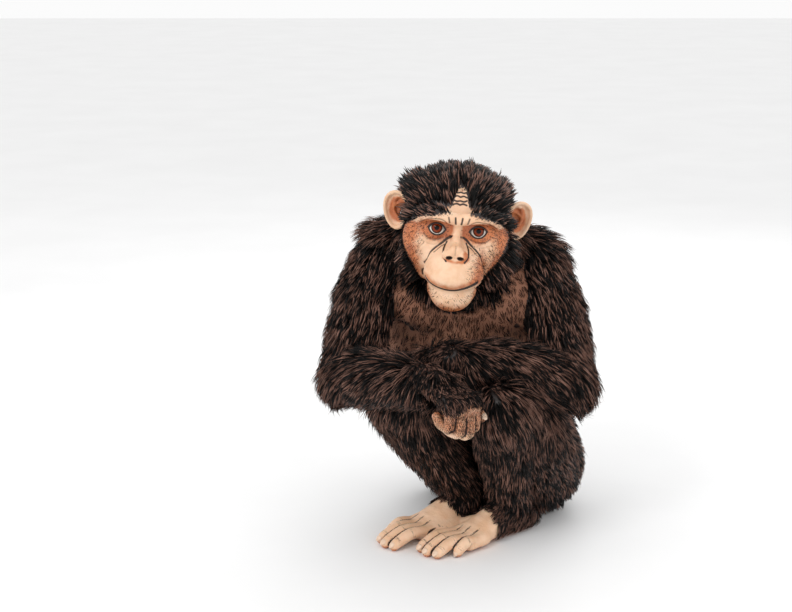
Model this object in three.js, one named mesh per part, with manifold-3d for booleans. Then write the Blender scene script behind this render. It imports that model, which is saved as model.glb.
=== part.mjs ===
// A life-size chimpanzee that sits on the floor, knees up, feet flat and arms folded over its knees.
// Millimetres, +Z up. It faces -Y and its left side is +X. It rests on flats of the rump and the soles at z = 0.
import * as THREE from "three";
import { mergeVertices } from "three/addons/utils/BufferGeometryUtils.js";
import Module from "manifold-3d";

const wasm = await Module();
wasm.setup();

// Driving dimensions
const GAP = 0.6; // how far a neighbour is grown before it is cut away, so that about 0.3 mm stays open
const CORE_SHARE = 0.5; // how much of the coat's depth the smooth core takes up
const SLACK = { own: 0.24, room: 0.004, last: 0.03 }; // how far a surface may move where needless triangles go
const CLEAR = 18; // how far the middle of a lock keeps from the other bodies
const SIDES = ["left", "right"];
const OUTWARD = { left: 1, right: -1 };
const FULL_TURN = 2 * Math.PI;

// Joint places
const HIP = { left: [142, 16, 94], right: [6, 84, 90] };
const KNEE = { left: [66, -185, 252], right: [-104, -112, 258] };
const ANKLE = { left: [86, -92, 64], right: [8, -50, 64] };
const HEEL = { left: [124, -56, 0], right: [50, -14, 0] };
const FOOT_AIM = { left: [-0.755, -0.656, 0], right: [-0.79, -0.613, 0] };
const SHOULDER = { left: [128, 25, 438], right: [-121, 30, 456] };
const ELBOW = { left: [178, -138, 288], right: [-192, -108, 290] };
const WRIST = { left: [-42, -158, 330], right: [-47, -250, 316] };
const HAND_AIM = { left: [-0.82, 0.5, -0.22], right: [0.596, -0.751, -0.285] };
const HAND_BACK = { left: [0, 0.3, 0.95], right: [0.2, -0.2, 0.96] };
const HEAD_PLACE = [-8, -71, 542];
const HEAD_TURN = { pitch: 9, roll: 5, yaw: 1.5 };

// Coat depth over the skin
const COAT = { torso: 20, chest: 7, arm: 20, forearm: 17, thigh: 18, shank: 16, neck: 20, crown: 16 };

// Limb thickness: pairs of share of the way and half-width of the flesh, and how far the middle bows
const LIMBS = {
  upperArm: { profile: [[0, 52], [0.5, 50], [0.85, 42], [1, 28]], bow: [9, 4, 4] },
  forearm: { profile: [[0, 37], [0.35, 37], [1, 22]], bow: [0, 0, 0] },
  thigh: { profile: [[0, 72], [0.5, 66], [0.85, 52], [1, 36]], bow: [10, 0, 12] },
  shank: { profile: [[0, 43], [0.3, 42], [0.55, 37], [1, 28]], bow: [0, 0, 0] },
};

// Vectors, from plain lists
const vec = (list) => new THREE.Vector3(...list);
const lerp = (a, b, t) => a + (b - a) * t;

// A value read off a list of [place, value] pairs, eased between them
function profileAt(pairs, t) {
  if (t <= pairs[0][0]) return pairs[0][1];
  for (let i = 1; i < pairs.length; i++) {
    const [t1, v1] = pairs[i];
    const [t0, v0] = pairs[i - 1];
    if (t <= t1) {
      const s = (t - t0) / (t1 - t0);
      return lerp(v0, v1, s * s * (3 - 2 * s));
    }
  }
  return pairs[pairs.length - 1][1];
}

// A closed mesh from rings of equal count between two poles
function ringMesh(rings, firstPole, lastPole) {
  const sides = rings[0].length;
  const points = [firstPole, ...rings.flat(), lastPole];
  const last = points.length - 1;
  const index = [];
  const at = (ring, side) => 1 + ring * sides + (side % sides);
  for (let j = 0; j < sides; j++) index.push(0, at(0, j), at(0, j + 1));
  for (let i = 0; i + 1 < rings.length; i++)
    for (let j = 0; j < sides; j++) {
      index.push(at(i, j), at(i + 1, j), at(i, j + 1));
      index.push(at(i, j + 1), at(i + 1, j), at(i + 1, j + 1));
    }
  const end = rings.length - 1;
  for (let j = 0; j < sides; j++) index.push(at(end, j), last, at(end, j + 1));
  const geometry = new THREE.BufferGeometry().setFromPoints(points);
  geometry.setIndex(index);
  return geometry;
}

// A round body along a curve. size(t) gives its half-width and its half-depths on the up and the down side.
class Loft {
  constructor({ points, size, up, rings = 7, sides = 12, capStart, capEnd, capRings = [0.12, 0.5] }) {
    this.curve = new THREE.CatmullRomCurve3(points.map(vec), false, "centripetal");
    this.length = this.curve.getLength();
    this.size = size;
    this.up = typeof up === "function" ? up : () => vec(up);
    this.sides = sides;
    this.cap = [capStart, capEnd];
    const from = capStart / this.length;
    const to = 1 - capEnd / this.length;
    this.stops = [];
    for (const share of capRings) this.stops.push(from * share);
    for (let i = 0; i < rings; i++) this.stops.push(lerp(from, to, i / (rings - 1)));
    for (const share of [...capRings].reverse()) this.stops.push(1 - (1 - to) * share);
  }
  round(t) {
    const s = t * this.length;
    const near = Math.min(1, s / this.cap[0]);
    const far = Math.min(1, (this.length - s) / this.cap[1]);
    return Math.sqrt(Math.max(0, 1 - (1 - near) ** 2)) * Math.sqrt(Math.max(0, 1 - (1 - far) ** 2));
  }
  frame(t) {
    const along = this.curve.getTangentAt(t);
    const up = this.up(t);
    up.addScaledVector(along, -up.dot(along)).normalize();
    return { centre: this.curve.getPointAt(t), along, up, side: along.clone().cross(up) };
  }
  // The point on the surface at a place along it and an angle, from the side axis towards the up axis
  point(t, angle) {
    const held = Math.min(1, Math.max(0, t));
    const { centre, along, up, side } = this.frame(held);
    const [wide, high, low] = this.size(held);
    const round = this.round(held);
    const tall = Math.sin(angle) > 0 ? high : low;
    return centre
      .addScaledVector(side, wide * round * Math.cos(angle))
      .addScaledVector(up, tall * round * Math.sin(angle))
      .addScaledVector(along, (t - held) * this.length);
  }
  // Whether a place lies inside the body, or nearer to it than a margin
  holds(place, margin) {
    if (!this.marks) {
      const count = 24;
      this.reach = this.length / count;
      this.marks = Array.from({ length: count }, (_, i) => {
        const t = (i + 0.5) / count;
        return { ...this.frame(t), sizes: this.size(t).map((size) => size * this.round(t)) };
      });
    }
    return this.marks.some(({ centre, along, up, side, sizes }) => {
      const away = place.clone().sub(centre);
      const high = away.dot(up);
      const tall = high > 0 ? sizes[1] : sizes[2];
      const near = Math.hypot(away.dot(side) / (sizes[0] + margin), high / (tall + margin)) < 1;
      return near && Math.abs(away.dot(along)) < this.reach + margin / 2;
    });
  }
  geometry() {
    const rings = this.stops.map((t) => {
      const ring = [];
      for (let j = 0; j < this.sides; j++) ring.push(this.point(t, (2 * Math.PI * j) / this.sides));
      return ring;
    });
    return ringMesh(rings, this.curve.getPointAt(0), this.curve.getPointAt(1));
  }
}

// Solids from closed geometry, and back
function welded(geometry) {
  const bare = new THREE.BufferGeometry().setAttribute("position", geometry.getAttribute("position").clone());
  if (geometry.index) bare.setIndex(geometry.index.clone());
  return mergeVertices(bare, 1e-4);
}

function solidOf(geometry) {
  const merged = welded(geometry);
  const mesh = new wasm.Mesh({
    numProp: 3,
    vertProperties: Float32Array.from(merged.attributes.position.array),
    triVerts: Uint32Array.from(merged.index.array),
  });
  return new wasm.Manifold(mesh);
}

function geometryOf(solid) {
  const mesh = solid.getMesh();
  const geometry = new THREE.BufferGeometry();
  geometry.setAttribute("position", new THREE.BufferAttribute(Float32Array.from(mesh.vertProperties), 3));
  geometry.setIndex(new THREE.BufferAttribute(Uint32Array.from(mesh.triVerts), 1));
  return geometry;
}

// The same closed geometry with its surface moved outwards
function grown(geometry, by) {
  const out = welded(geometry);
  out.computeVertexNormals();
  const place = out.getAttribute("position");
  const normal = out.getAttribute("normal");
  for (let i = 0; i < place.count; i++)
    place.setXYZ(
      i,
      place.getX(i) + normal.getX(i) * by,
      place.getY(i) + normal.getY(i) * by,
      place.getZ(i) + normal.getZ(i) * by,
    );
  return out;
}

const joined = (solids) => solids.reduce((sum, one) => sum.add(one));
const tidied = (solid, slack) => solid.asOriginal().simplify(slack);
const largest = (solid) => solid.decompose().reduce((best, one) => (one.volume() > best.volume() ? one : best));

// A limb's segment between two joints, with a round end at each. profile lists [share of the way, half-width].
function segment(from, to, profile, coat, up, { rings = 6, sides = 11, bow = [0, 0, 0] } = {}) {
  const a = vec(from);
  const b = vec(to);
  const along = b.clone().sub(a).normalize();
  const first = profile[0][1] + coat * CORE_SHARE;
  const last = profile[profile.length - 1][1] + coat * CORE_SHARE;
  const middle = a.clone().lerp(b, 0.5).add(vec(bow));
  const start = a.clone().addScaledVector(along, -first);
  const end = b.clone().addScaledVector(along, last);
  const size = (t) => {
    const wide = profileAt(profile, t) + coat * CORE_SHARE;
    return [wide, wide, wide];
  };
  return new Loft({
    points: [start.toArray(), a.toArray(), middle.toArray(), b.toArray(), end.toArray()],
    size,
    up,
    rings,
    sides,
    capStart: first,
    capEnd: last,
  });
}

// The trunk, from the rump on the floor up the bent back to the root of the neck
const TRUNK = [
  // place, turn to the right in degrees, half-width, depth in front, depth behind
  { at: [76, 66, -40], turn: 24, wide: 96, front: 66, back: 76 },
  { at: [78, 66, 20], turn: 24, wide: 106, front: 70, back: 82 },
  { at: [74, 66, 100], turn: 24, wide: 116, front: 82, back: 86 },
  { at: [62, 64, 190], turn: 18, wide: 116, front: 90, back: 84 },
  { at: [40, 56, 285], turn: 10, wide: 116, front: 100, back: 84 },
  { at: [18, 40, 375], turn: 4, wide: 122, front: 104, back: 84 },
  { at: [8, 26, 445], turn: 0, wide: 112, front: 80, back: 76 },
  { at: [3, 8, 505], turn: 0, wide: 78, front: 58, back: 62 },
  { at: [0, -6, 560], turn: 0, wide: 60, front: 50, back: 52 },
];
// The broad back shows under the right arm, and a yoke of muscle runs from the neck to each shoulder
const FLANK = { at: [-84, 56, 340], half: [46, 62, 92] };
const YOKE = {
  left: { from: [44, 26, 490], to: [118, 30, 460] },
  right: { from: [-36, 30, 500], to: [-120, 34, 474] },
  profile: [[0, 46], [1, 44]],
};
const NECK = { from: [0, -50, 520], to: [6, 24, 446], profile: [[0, 62], [1, 78]] };

function trunkLoft() {
  const last = TRUNK.length - 1;
  const read = (t, key) => {
    const pairs = TRUNK.map((stop, i) => [i / last, stop[key]]);
    return profileAt(pairs, t);
  };
  return new Loft({
    points: TRUNK.map((stop) => stop.at),
    size: (t) => [
      read(t, "wide") + COAT.torso * CORE_SHARE,
      read(t, "back") + COAT.torso * CORE_SHARE,
      read(t, "front") + COAT.chest * CORE_SHARE,
    ],
    up: (t) => {
      const turn = THREE.MathUtils.degToRad(read(t, "turn"));
      return new THREE.Vector3(Math.sin(turn), Math.cos(turn), 0);
    },
    rings: 11,
    sides: 18,
    capStart: 60,
    capEnd: 55,
  });
}

// Fingers and toes: a bent tube through the joints, given the thickness at each
function digit(joints, radii, up) {
  const pairs = radii.map((radius, i) => [i / (radii.length - 1), radius]);
  return new Loft({
    points: joints.map((joint) => joint.toArray()),
    size: (t) => {
      const wide = profileAt(pairs, t);
      return [wide, wide, wide];
    },
    up,
    rings: 5,
    sides: 6,
    capStart: radii[0],
    capEnd: radii[radii.length - 1] * 0.9,
    capRings: [0.3],
  });
}

// The hand, from its own axes: aim runs to the fingers, back is the hairy side, thumbSide lies across
const FINGERS = [
  // name, place across the knuckles, knuckle distance from the wrist, lengths of the three bones
  { name: "index", across: 24, knuckle: 66, bones: [40, 26, 17], radius: 9.5 },
  { name: "middle", across: 8, knuckle: 70, bones: [45, 30, 18], radius: 10 },
  { name: "ring", across: -8, knuckle: 67, bones: [42, 28, 18], radius: 9.8 },
  { name: "little", across: -23, knuckle: 61, bones: [34, 21, 15], radius: 8.8 },
];
const PALM = {
  wide: [[0, 25], [0.35, 27], [0.75, 36], [1, 33]],
  high: [[0, 22], [0.4, 18], [0.8, 14], [1, 12]],
};
const CURL = { left: [40, 60, 40], right: [66, 92, 48] };

function handParts(side) {
  const aim = vec(HAND_AIM[side]).normalize();
  const back = vec(HAND_BACK[side]);
  back.addScaledVector(aim, -back.dot(aim)).normalize();
  const thumbSide = side === "right" ? back.clone().cross(aim) : aim.clone().cross(back);
  const wrist = vec(WRIST[side]);
  const place = (along, across, high) =>
    wrist
      .clone()
      .addScaledVector(aim, along)
      .addScaledVector(thumbSide, across)
      .addScaledVector(back, high);
  const palm = new Loft({
    points: [place(-26, 0, 0), place(4, 0, 0), place(34, 2, 1), place(62, 1, 0), place(78, 0, -3)].map((p) =>
      p.toArray(),
    ),
    size: (t) => {
      const high = profileAt(PALM.high, t);
      return [profileAt(PALM.wide, t), high, high];
    },
    up: back.toArray(),
    rings: 5,
    sides: 12,
    capStart: 18,
    capEnd: 14,
  });
  const parts = [palm];
  for (const finger of FINGERS) {
    const { knuckle, across } = finger;
    const joints = [place(knuckle - 16, across * 0.85, -1), place(knuckle, across, 2)];
    let bent = 0;
    finger.bones.forEach((bone, i) => {
      bent += THREE.MathUtils.degToRad(CURL[side][i]);
      const way = aim.clone().multiplyScalar(Math.cos(bent)).addScaledVector(back, -Math.sin(bent));
      joints.push(joints[joints.length - 1].clone().addScaledVector(way, bone));
    });
    const r = finger.radius;
    parts.push(digit(joints, [r, r * 1.08, r * 1.02, r * 0.95, r * 0.85], thumbSide.toArray()));
  }
  const thumb = [place(16, 16, -6), place(34, 30, -12), place(54, 40, -18), place(74, 44, -25)];
  parts.push(digit(thumb, [12, 11.5, 10, 9], back.toArray()));
  return parts;
}

// The foot, from its own axes: aim runs to the toes, inner is the big toe's side
const TOES = [
  { name: "second", across: 27, tip: 236, radius: 9.8 },
  { name: "third", across: 9, tip: 240, radius: 10 },
  { name: "fourth", across: -9, tip: 234, radius: 9.8 },
  { name: "fifth", across: -25, tip: 202, radius: 9.2 },
];

const SOLE = {
  // place along the foot and height, then half-width, height above and depth below by share of the way
  path: [[2, 20], [24, 24], [62, 30], [104, 23], [140, 15], [166, 11]],
  wide: [[0, 20], [0.2, 26], [0.45, 25], [0.75, 34], [1, 35]],
  high: [[0, 18], [0.2, 27], [0.4, 33], [0.7, 20], [1, 10]],
  low: [[0, 20], [0.2, 27], [0.4, 31], [0.7, 25], [0.86, 18], [1, 14]],
};
const TOE_ROOT = 140; // where the small toes leave the sole

function footParts(side) {
  const aim = vec(FOOT_AIM[side]).normalize();
  const up = new THREE.Vector3(0, 0, 1);
  const inner = aim.clone().cross(up).multiplyScalar(side === "left" ? 1 : -1);
  const heel = vec(HEEL[side]);
  const place = (along, across, high) =>
    heel
      .clone()
      .addScaledVector(aim, along)
      .addScaledVector(inner, across)
      .addScaledVector(up, high);
  const sole = new Loft({
    points: SOLE.path.map(([along, high]) => place(along, 0, high).toArray()),
    size: (t) => [profileAt(SOLE.wide, t), profileAt(SOLE.high, t), profileAt(SOLE.low, t)],
    up: [0, 0, 1],
    rings: 7,
    sides: 14,
    capStart: 22,
    capEnd: 16,
  });
  const ankle = segment(
    place(50, 0, 66).toArray(),
    place(54, 0, 34).toArray(),
    [[0, 29], [1, 27]],
    0,
    aim.toArray(),
    { rings: 3, sides: 12 },
  );
  const parts = [sole, ankle];
  for (const toe of TOES) {
    const reach = toe.tip - TOE_ROOT;
    const joints = [
      place(TOE_ROOT - 8, toe.across * 0.92, 15),
      place(TOE_ROOT + reach * 0.22, toe.across, 18),
      place(TOE_ROOT + reach * 0.55, toe.across * 1.04, 21),
      place(TOE_ROOT + reach * 0.84, toe.across * 1.06, 12),
      place(toe.tip, toe.across * 1.06, 6.5),
    ];
    const r = toe.radius;
    parts.push(digit(joints, [r, r, r * 1.02, r * 0.95, r * 0.8], [0, 0, 1]));
  }
  const bigToe = [place(78, 18, 20), place(104, 36, 18), place(132, 45, 14), place(160, 46, 10)];
  parts.push(digit(bigToe, [15, 14, 12.5, 11], [0, 0, 1]));
  return parts;
}

// The head, in its own frame: the face looks along -y, +z is up and +x is the animal's left
const EYE = { across: 34, forward: 61, up: 14, radius: 16 };
const headTurn = new THREE.Euler(
  THREE.MathUtils.degToRad(HEAD_TURN.pitch),
  THREE.MathUtils.degToRad(HEAD_TURN.roll),
  THREE.MathUtils.degToRad(-HEAD_TURN.yaw),
  "ZYX",
);
const headMatrix = new THREE.Matrix4().makeRotationFromEuler(headTurn).setPosition(vec(HEAD_PLACE));
const onHead = (x, y, z) => new THREE.Vector3(x, y, z).applyMatrix4(headMatrix);

// Masses of the head: centre, half-sizes, and how softly each melts into the rest
const HEAD_MASSES = [
  { at: [0, 16, 29], half: [82, 86, 60], soft: 0 },
  { at: [0, -38, 8], half: [70, 40, 42], soft: 16 },
  { at: [0, -80, -38], half: [46, 48, 36], soft: 20 },
  { at: [0, -90, -52], half: [49, 42, 28], soft: 10 },
  { at: [0, -70, -86], half: [44, 46, 28], soft: 12 },
  { at: [0, -94, -92], half: [31, 25, 24], soft: 9 },
  { at: [0, -12, -42], half: [60, 50, 54], soft: 20 },
];
const PAIRED_MASSES = [
  { at: [55, -41, -10], half: [34, 32, 42], soft: 20 },
  { at: [47, -17, -48], half: [27, 38, 40], soft: 26 },
];
const BROW = {
  path: [[0, -83, 39], [16, -88, 43], [34, -87, 46], [52, -74, 40], [67, -55, 25]],
  radius: 10,
  soft: 8,
};
const NOSE = { at: [0, -113, -9], half: [19, 12, 13], soft: 8 };
const SOCKET = { at: [34, -91, 19], half: [22, 18, 16], soft: 8 };
const HEAD_HEART = [0, -30, -14];

function ellipsoid(p, at, half) {
  const x = (p.x - at[0]) / half[0];
  const y = (p.y - at[1]) / half[1];
  const z = (p.z - at[2]) / half[2];
  const k0 = Math.hypot(x, y, z);
  const k1 = Math.hypot(x / half[0], y / half[1], z / half[2]);
  return k1 < 1e-9 ? -Math.min(...half) : (k0 * (k0 - 1)) / k1;
}

function rod(p, a, b, radius) {
  const pa = p.clone().sub(vec(a));
  const ba = vec(b).sub(vec(a));
  const h = Math.min(1, Math.max(0, pa.dot(ba) / ba.lengthSq()));
  return pa.addScaledVector(ba, -h).length() - radius;
}

function melt(a, b, soft) {
  if (soft <= 0) return Math.min(a, b);
  const h = Math.max(soft - Math.abs(a - b), 0) / soft;
  return Math.min(a, b) - (h * h * soft) / 4;
}

const carve = (a, b, soft) => -melt(-a, b, soft);

// Distance from the head's skin, below zero inside
function headDistance(point) {
  const p = new THREE.Vector3(Math.abs(point.x), point.y, point.z);
  let d = Infinity;
  for (const mass of [...HEAD_MASSES, ...PAIRED_MASSES]) {
    const one = ellipsoid(p, mass.at, mass.half);
    d = d === Infinity ? one : melt(d, one, mass.soft);
  }
  for (let i = 1; i < BROW.path.length; i++) {
    const bar = rod(p, BROW.path[i - 1], BROW.path[i], BROW.radius);
    d = melt(d, bar, BROW.soft);
  }
  d = carve(d, ellipsoid(p, SOCKET.at, SOCKET.half), SOCKET.soft);
  return melt(d, ellipsoid(p, NOSE.at, NOSE.half), NOSE.soft);
}

// Distance from the heart of the head to its skin along a direction: steps outwards, then halving
const SEARCH = { from: 20, to: 220, step: 4, halvings: 14 };

function headReach(way) {
  let low = SEARCH.from;
  let high = SEARCH.to;
  const heart = vec(HEAD_HEART);
  for (let reach = low; reach < high; reach += SEARCH.step)
    if (headDistance(heart.clone().addScaledVector(way, reach)) > 0) {
      high = reach;
      low = reach - SEARCH.step;
      break;
    }
  for (let i = 0; i < SEARCH.halvings; i++) {
    const middle = (low + high) / 2;
    if (headDistance(heart.clone().addScaledVector(way, middle)) > 0) high = middle;
    else low = middle;
  }
  return (low + high) / 2;
}

// How thick the coat is on the head, by place: none on the face
function headCoat(p) {
  const behind = THREE.MathUtils.smoothstep(p.y, -62, -18);
  const above = THREE.MathUtils.smoothstep(p.z, 30, 56);
  return COAT.crown * Math.max(behind, above);
}

// A place on the core of the head: angle runs from the face to the back, turn goes round that line
function headSkin(angle, turn) {
  const out = Math.sin(angle);
  const way = new THREE.Vector3(out * Math.cos(turn), -Math.cos(angle), out * Math.sin(turn));
  const p = vec(HEAD_HEART).addScaledVector(way, headReach(way));
  return p.addScaledVector(way, headCoat(p) * CORE_SHARE).applyMatrix4(headMatrix);
}

// The core's mesh, with its rings closer together towards the face
const HEAD_MESH = { rings: 24, around: 34, even: 0.72, power: 2.4 };

function headGeometry() {
  const { rings, around, even, power } = HEAD_MESH;
  const loops = [];
  for (let i = 1; i < rings; i++) {
    const s = i / rings;
    const angle = Math.PI * (even * s + (1 - even) * s ** power);
    const loop = [];
    for (let j = 0; j < around; j++) loop.push(headSkin(angle, (FULL_TURN * j) / around));
    loops.push(loop);
  }
  return ringMesh(loops, headSkin(0, 0), headSkin(Math.PI, 0));
}

// Small closed forms
function ball(at, half, across, down) {
  const geometry = new THREE.SphereGeometry(1, across, down);
  geometry.deleteAttribute("normal");
  geometry.deleteAttribute("uv");
  geometry.rotateX(Math.PI / 2);
  geometry.scale(...half);
  return geometry.translate(...at);
}

const headBall = (at, half, across, down) => ball(at, half, across, down).applyMatrix4(headMatrix);

function cordAlong(points, radius, rings = 5) {
  const path = points.map(([x, y, z]) => onHead(x, y, z));
  return new Loft({
    points: path.map((p) => p.toArray()),
    size: () => [radius, radius, radius],
    up: onHead(0, 0, 1).sub(onHead(0, 0, 0)).toArray(),
    rings,
    sides: 5,
    capStart: radius * 1.6,
    capEnd: radius * 1.6,
    capRings: [0.3],
  }).geometry();
}

// The furrow between the lips, the rims of the eye, and the wing of the nose with its nostril, on the left side
const LIPS = {
  path: [
    [-43, -84, -59],
    [-35, -102, -64],
    [-20, -118, -68],
    [-5, -123.5, -69],
    [12, -121, -65.5],
    [27, -111, -60],
    [37, -92, -56],
  ],
  radius: 2.1,
};
const LIDS = {
  upper: { path: [[20, -70, 17], [26, -76, 25], [34, -79, 27.5], [43, -75, 25], [49, -67, 18]], radius: 2.8 },
  lower: { path: [[20, -70, 16], [26, -76, 10], [34, -79, 8], [43, -75, 10], [49, -67, 17]], radius: 2.4 },
};
const WING = { at: [12, -113, -11], half: [9, 9, 8] };
const NOSTRIL = { at: [9.8, -122, -14], half: [5.2, 8, 3.2] };
const flipped = ([x, y, z], out) => [out * x, y, z];

function headForms() {
  const adds = [];
  const cuts = [];
  for (const side of SIDES) {
    const here = (point) => flipped(point, OUTWARD[side]);
    for (const lid of [LIDS.upper, LIDS.lower]) adds.push(cordAlong(lid.path.map(here), lid.radius));
    adds.push(headBall(here(WING.at), WING.half, 8, 6));
    cuts.push(headBall(here(NOSTRIL.at), NOSTRIL.half, 8, 6));
  }
  cuts.push(cordAlong(LIPS.path, LIPS.radius, 11));
  return { adds, cuts };
}

// An ear: a cupped leaf with a rolled rim, set on the side of the head
const EAR = { height: 63, width: 46, thick: 4.2, root: [86, 8, 12], splay: 26, cup: 11, rim: 3.4 };
const EAR_SHAPE = { around: 18, bands: [1, 0.84, 0.5], edge: 1.06, rolled: 0.8, taper: 0.16, out: 0.42 };
const EAR_ROOM = { inside: 10, behind: 10, half: [30, 44] };

function earGeometry(side) {
  const out = OUTWARD[side];
  const { around, bands, edge, rolled, taper } = EAR_SHAPE;
  // u runs away from the head and v up; the ear is widest above its middle
  const outline = (angle, share) => {
    const v = Math.sin(angle) * EAR.height * 0.5 * share;
    const wide = EAR.width * 0.5 * (1 + taper * Math.sin(angle));
    const u = Math.cos(angle) * wide * share;
    return [u + EAR.width * EAR_SHAPE.out, v];
  };
  const rim = (share) => EAR.rim * Math.max(0, 1 - (1 - share) / (1 - rolled));
  const bowl = (share) => -EAR.cup * (1 - share * share) + rim(share);
  const splay = THREE.MathUtils.degToRad(EAR.splay);
  const place = ([u, v], depth) => {
    const x = EAR.root[0] + u * Math.cos(splay) + depth * Math.sin(splay);
    const y = EAR.root[1] + u * Math.sin(splay) - depth * Math.cos(splay);
    return onHead(out * x, y, EAR.root[2] + v);
  };
  const loop = (share, lift) => {
    const ring = [];
    for (let j = 0; j < around; j++) {
      const angle = (out * FULL_TURN * j) / around;
      ring.push(place(outline(angle, share), bowl(share) + lift));
    }
    return ring;
  };
  const front = [...bands].reverse().map((share) => loop(share, EAR.thick / 2));
  const behind = bands.map((share) => loop(share, -EAR.thick / 2));
  const middle = outline(0, 0);
  const inside = place(middle, bowl(0) + EAR.thick / 2);
  const outside = place(middle, bowl(0) - EAR.thick / 2);
  return ringMesh([...front, loop(edge, 0), ...behind], inside, outside);
}

// Locks of hair. Each lies along a surface given by two shares, u along the lie and v round the body.
const LOCK = { length: 108, wide: 66, thick: 10, sink: 8, root: -0.14, margin: 0.55, blunt: 3, sharp: 8 };
const LOCK_FLOOR = { tip: 5, middle: 8 }; // lowest heights of a lock's tip and middle
const STATIONS = [
  // shares of the length, the width and the thickness, and lift from the sunk root at 0 to the tips at 1
  { along: 0.02, wide: 0.62, thick: 0.7, lift: 0.05 },
  { along: 0.42, wide: 1, thick: 1, lift: 0.55 },
  { along: 0.78, wide: 0.62, thick: 0.75, lift: 0.88 },
];

// A repeatable stream of draws between -1 and 1
function drawsFrom(seed) {
  let state = seed;
  return () => {
    state = (Math.imul(state, 1664525) + 1013904223) >>> 0;
    return state / 2 ** 31 - 1;
  };
}

const middleOf = (ring) => ring.reduce((sum, p) => sum.add(p), vec([0, 0, 0])).divideScalar(ring.length);

// A triangle with its sides moved outwards in its own plane
function swollen([a, b, c], by) {
  const sides = [b.distanceTo(c), c.distanceTo(a), a.distanceTo(b)];
  const around = sides[0] + sides[1] + sides[2];
  const heart = vec([0, 0, 0]);
  [a, b, c].forEach((corner, i) => heart.addScaledVector(corner, sides[i] / around));
  const area = b.clone().sub(a).cross(c.clone().sub(a)).length() / 2;
  const within = (2 * area) / around;
  return [a, b, c].map((corner) => corner.clone().sub(heart).multiplyScalar(1 + by / within).add(heart));
}

// A keeled blade along the surface, with its root sunk in the core and its tip at the coat's full depth
function lockGeometry(surface, { u, v, flow, length, wide, lean, rise }, extra = 0) {
  const step = 2e-3;
  const here = surface(u, v);
  const perU = surface(u + step, v).distanceTo(here) / step;
  const perV = surface(u, v + step).distanceTo(here) / step;
  const place = (along, across, lift) => {
    const a = u + (flow * along * length) / perU;
    const b = v + (across + lean * along * along * length) / perV;
    const p = surface(a, b);
    const normal = surface(a + step, b).sub(p).cross(surface(a, b + step).sub(p)).normalize();
    return p.addScaledVector(normal, lift);
  };
  const height = (share) => THREE.MathUtils.lerp(-LOCK.sink, rise, share);
  const rings = STATIONS.map((stop) => {
    const half = (wide * stop.wide) / 2;
    const low = height(stop.lift);
    const high = low + LOCK.thick * stop.thick;
    const ring = [place(stop.along, -half, low), place(stop.along, 0, high), place(stop.along, half, low)];
    return swollen(flow > 0 ? ring : ring.reverse(), extra);
  });
  const root = place(LOCK.root, 0, -LOCK.sink);
  const tip = place(1, 0, height(1));
  const past = (end, ring, share) => {
    const inwards = middleOf(ring).sub(end).normalize();
    return end.clone().addScaledVector(inwards, -extra * share);
  };
  return ringMesh(rings, past(root, rings[0], LOCK.blunt), past(tip, rings[rings.length - 1], LOCK.sharp));
}

// Staggered rows of locks over a surface. us and vs give the two ends of each share, in the order of the lie.
function coatRows(surface, { us, vs, rows, around, flow, rise, seed, scale = 1, grows = () => true }) {
  const draw = drawsFrom(seed);
  const locks = [];
  for (let i = 0; i < rows; i++)
    for (let j = 0; j < around; j++) {
      const u = lerp(us[0], us[1], (i + 0.5 + 0.22 * draw()) / rows);
      const v = lerp(vs[0], vs[1], (j + 0.5 + (i % 2 ? 0.25 : -0.25) + 0.16 * draw()) / around);
      const lock = {
        u,
        v,
        flow,
        length: LOCK.length * scale * (1 + 0.16 * draw()),
        wide: LOCK.wide * scale * (1 + 0.14 * draw()),
        lean: 0.16 * draw(),
        rise: rise(u, v) * (1 + 0.25 * draw()),
      };
      if (grows(u, v)) locks.push(lock);
    }
  return locks.map((lock) => ({ surface, lock }));
}

// Every node as the bodies that make it up, and its locks, in the order in which they keep their room
const nodes = new Map();
const FUR = { color: 0x1d1512, roughness: 0.85, metalness: 0 };
const SKIN = { color: 0xd9b596, roughness: 0.6, metalness: 0 };
const EYE_LOOK = { color: 0x5a2410, roughness: 0.15, metalness: 0 };
const addNode = (name, look, { lofts = [], forms = [], cuts = [], locks = [] }) =>
  nodes.set(name, { look, lofts, cuts, locks, forms: [...lofts.map((loft) => loft.geometry()), ...forms] });
const onLoft = (loft) => (t, angle) => loft.point(Math.min(0.985, Math.max(0.015, t)), angle);
const tipRise = (coat) => () => coat * (1 - CORE_SHARE);

for (const side of SIDES) {
  const at = [OUTWARD[side] * EYE.across, -EYE.forward, EYE.up];
  addNode("eye_" + side, EYE_LOOK, { forms: [headBall(at, [EYE.radius, EYE.radius, EYE.radius], 11, 8)] });
}

const { adds, cuts } = headForms();
const inHead = headMatrix.clone().invert();
const SIDE_HAIR = 30; // how far the hair over the ears stands out beyond the rest
const headLocks = coatRows(headSkin, {
  us: [0.95, 2.75],
  vs: [0, FULL_TURN],
  rows: 4,
  around: 10,
  flow: 1,
  rise: (u, v) => {
    const p = headSkin(u, v).applyMatrix4(inHead);
    const beside = THREE.MathUtils.smoothstep(Math.abs(p.x), 30, 80) * THREE.MathUtils.smoothstep(p.z, 10, 50);
    return COAT.crown * (1 - CORE_SHARE) + 2 + SIDE_HAIR * beside;
  },
  seed: 11,
  scale: 0.8,
  grows: (u, v) => headCoat(headSkin(u, v).applyMatrix4(inHead)) > 0.35 * COAT.crown,
});
addNode("head", FUR, { forms: [headGeometry(), ...adds], cuts, locks: headLocks });
for (const side of SIDES) addNode("ear_" + side, SKIN, { forms: [earGeometry(side)] });

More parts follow.
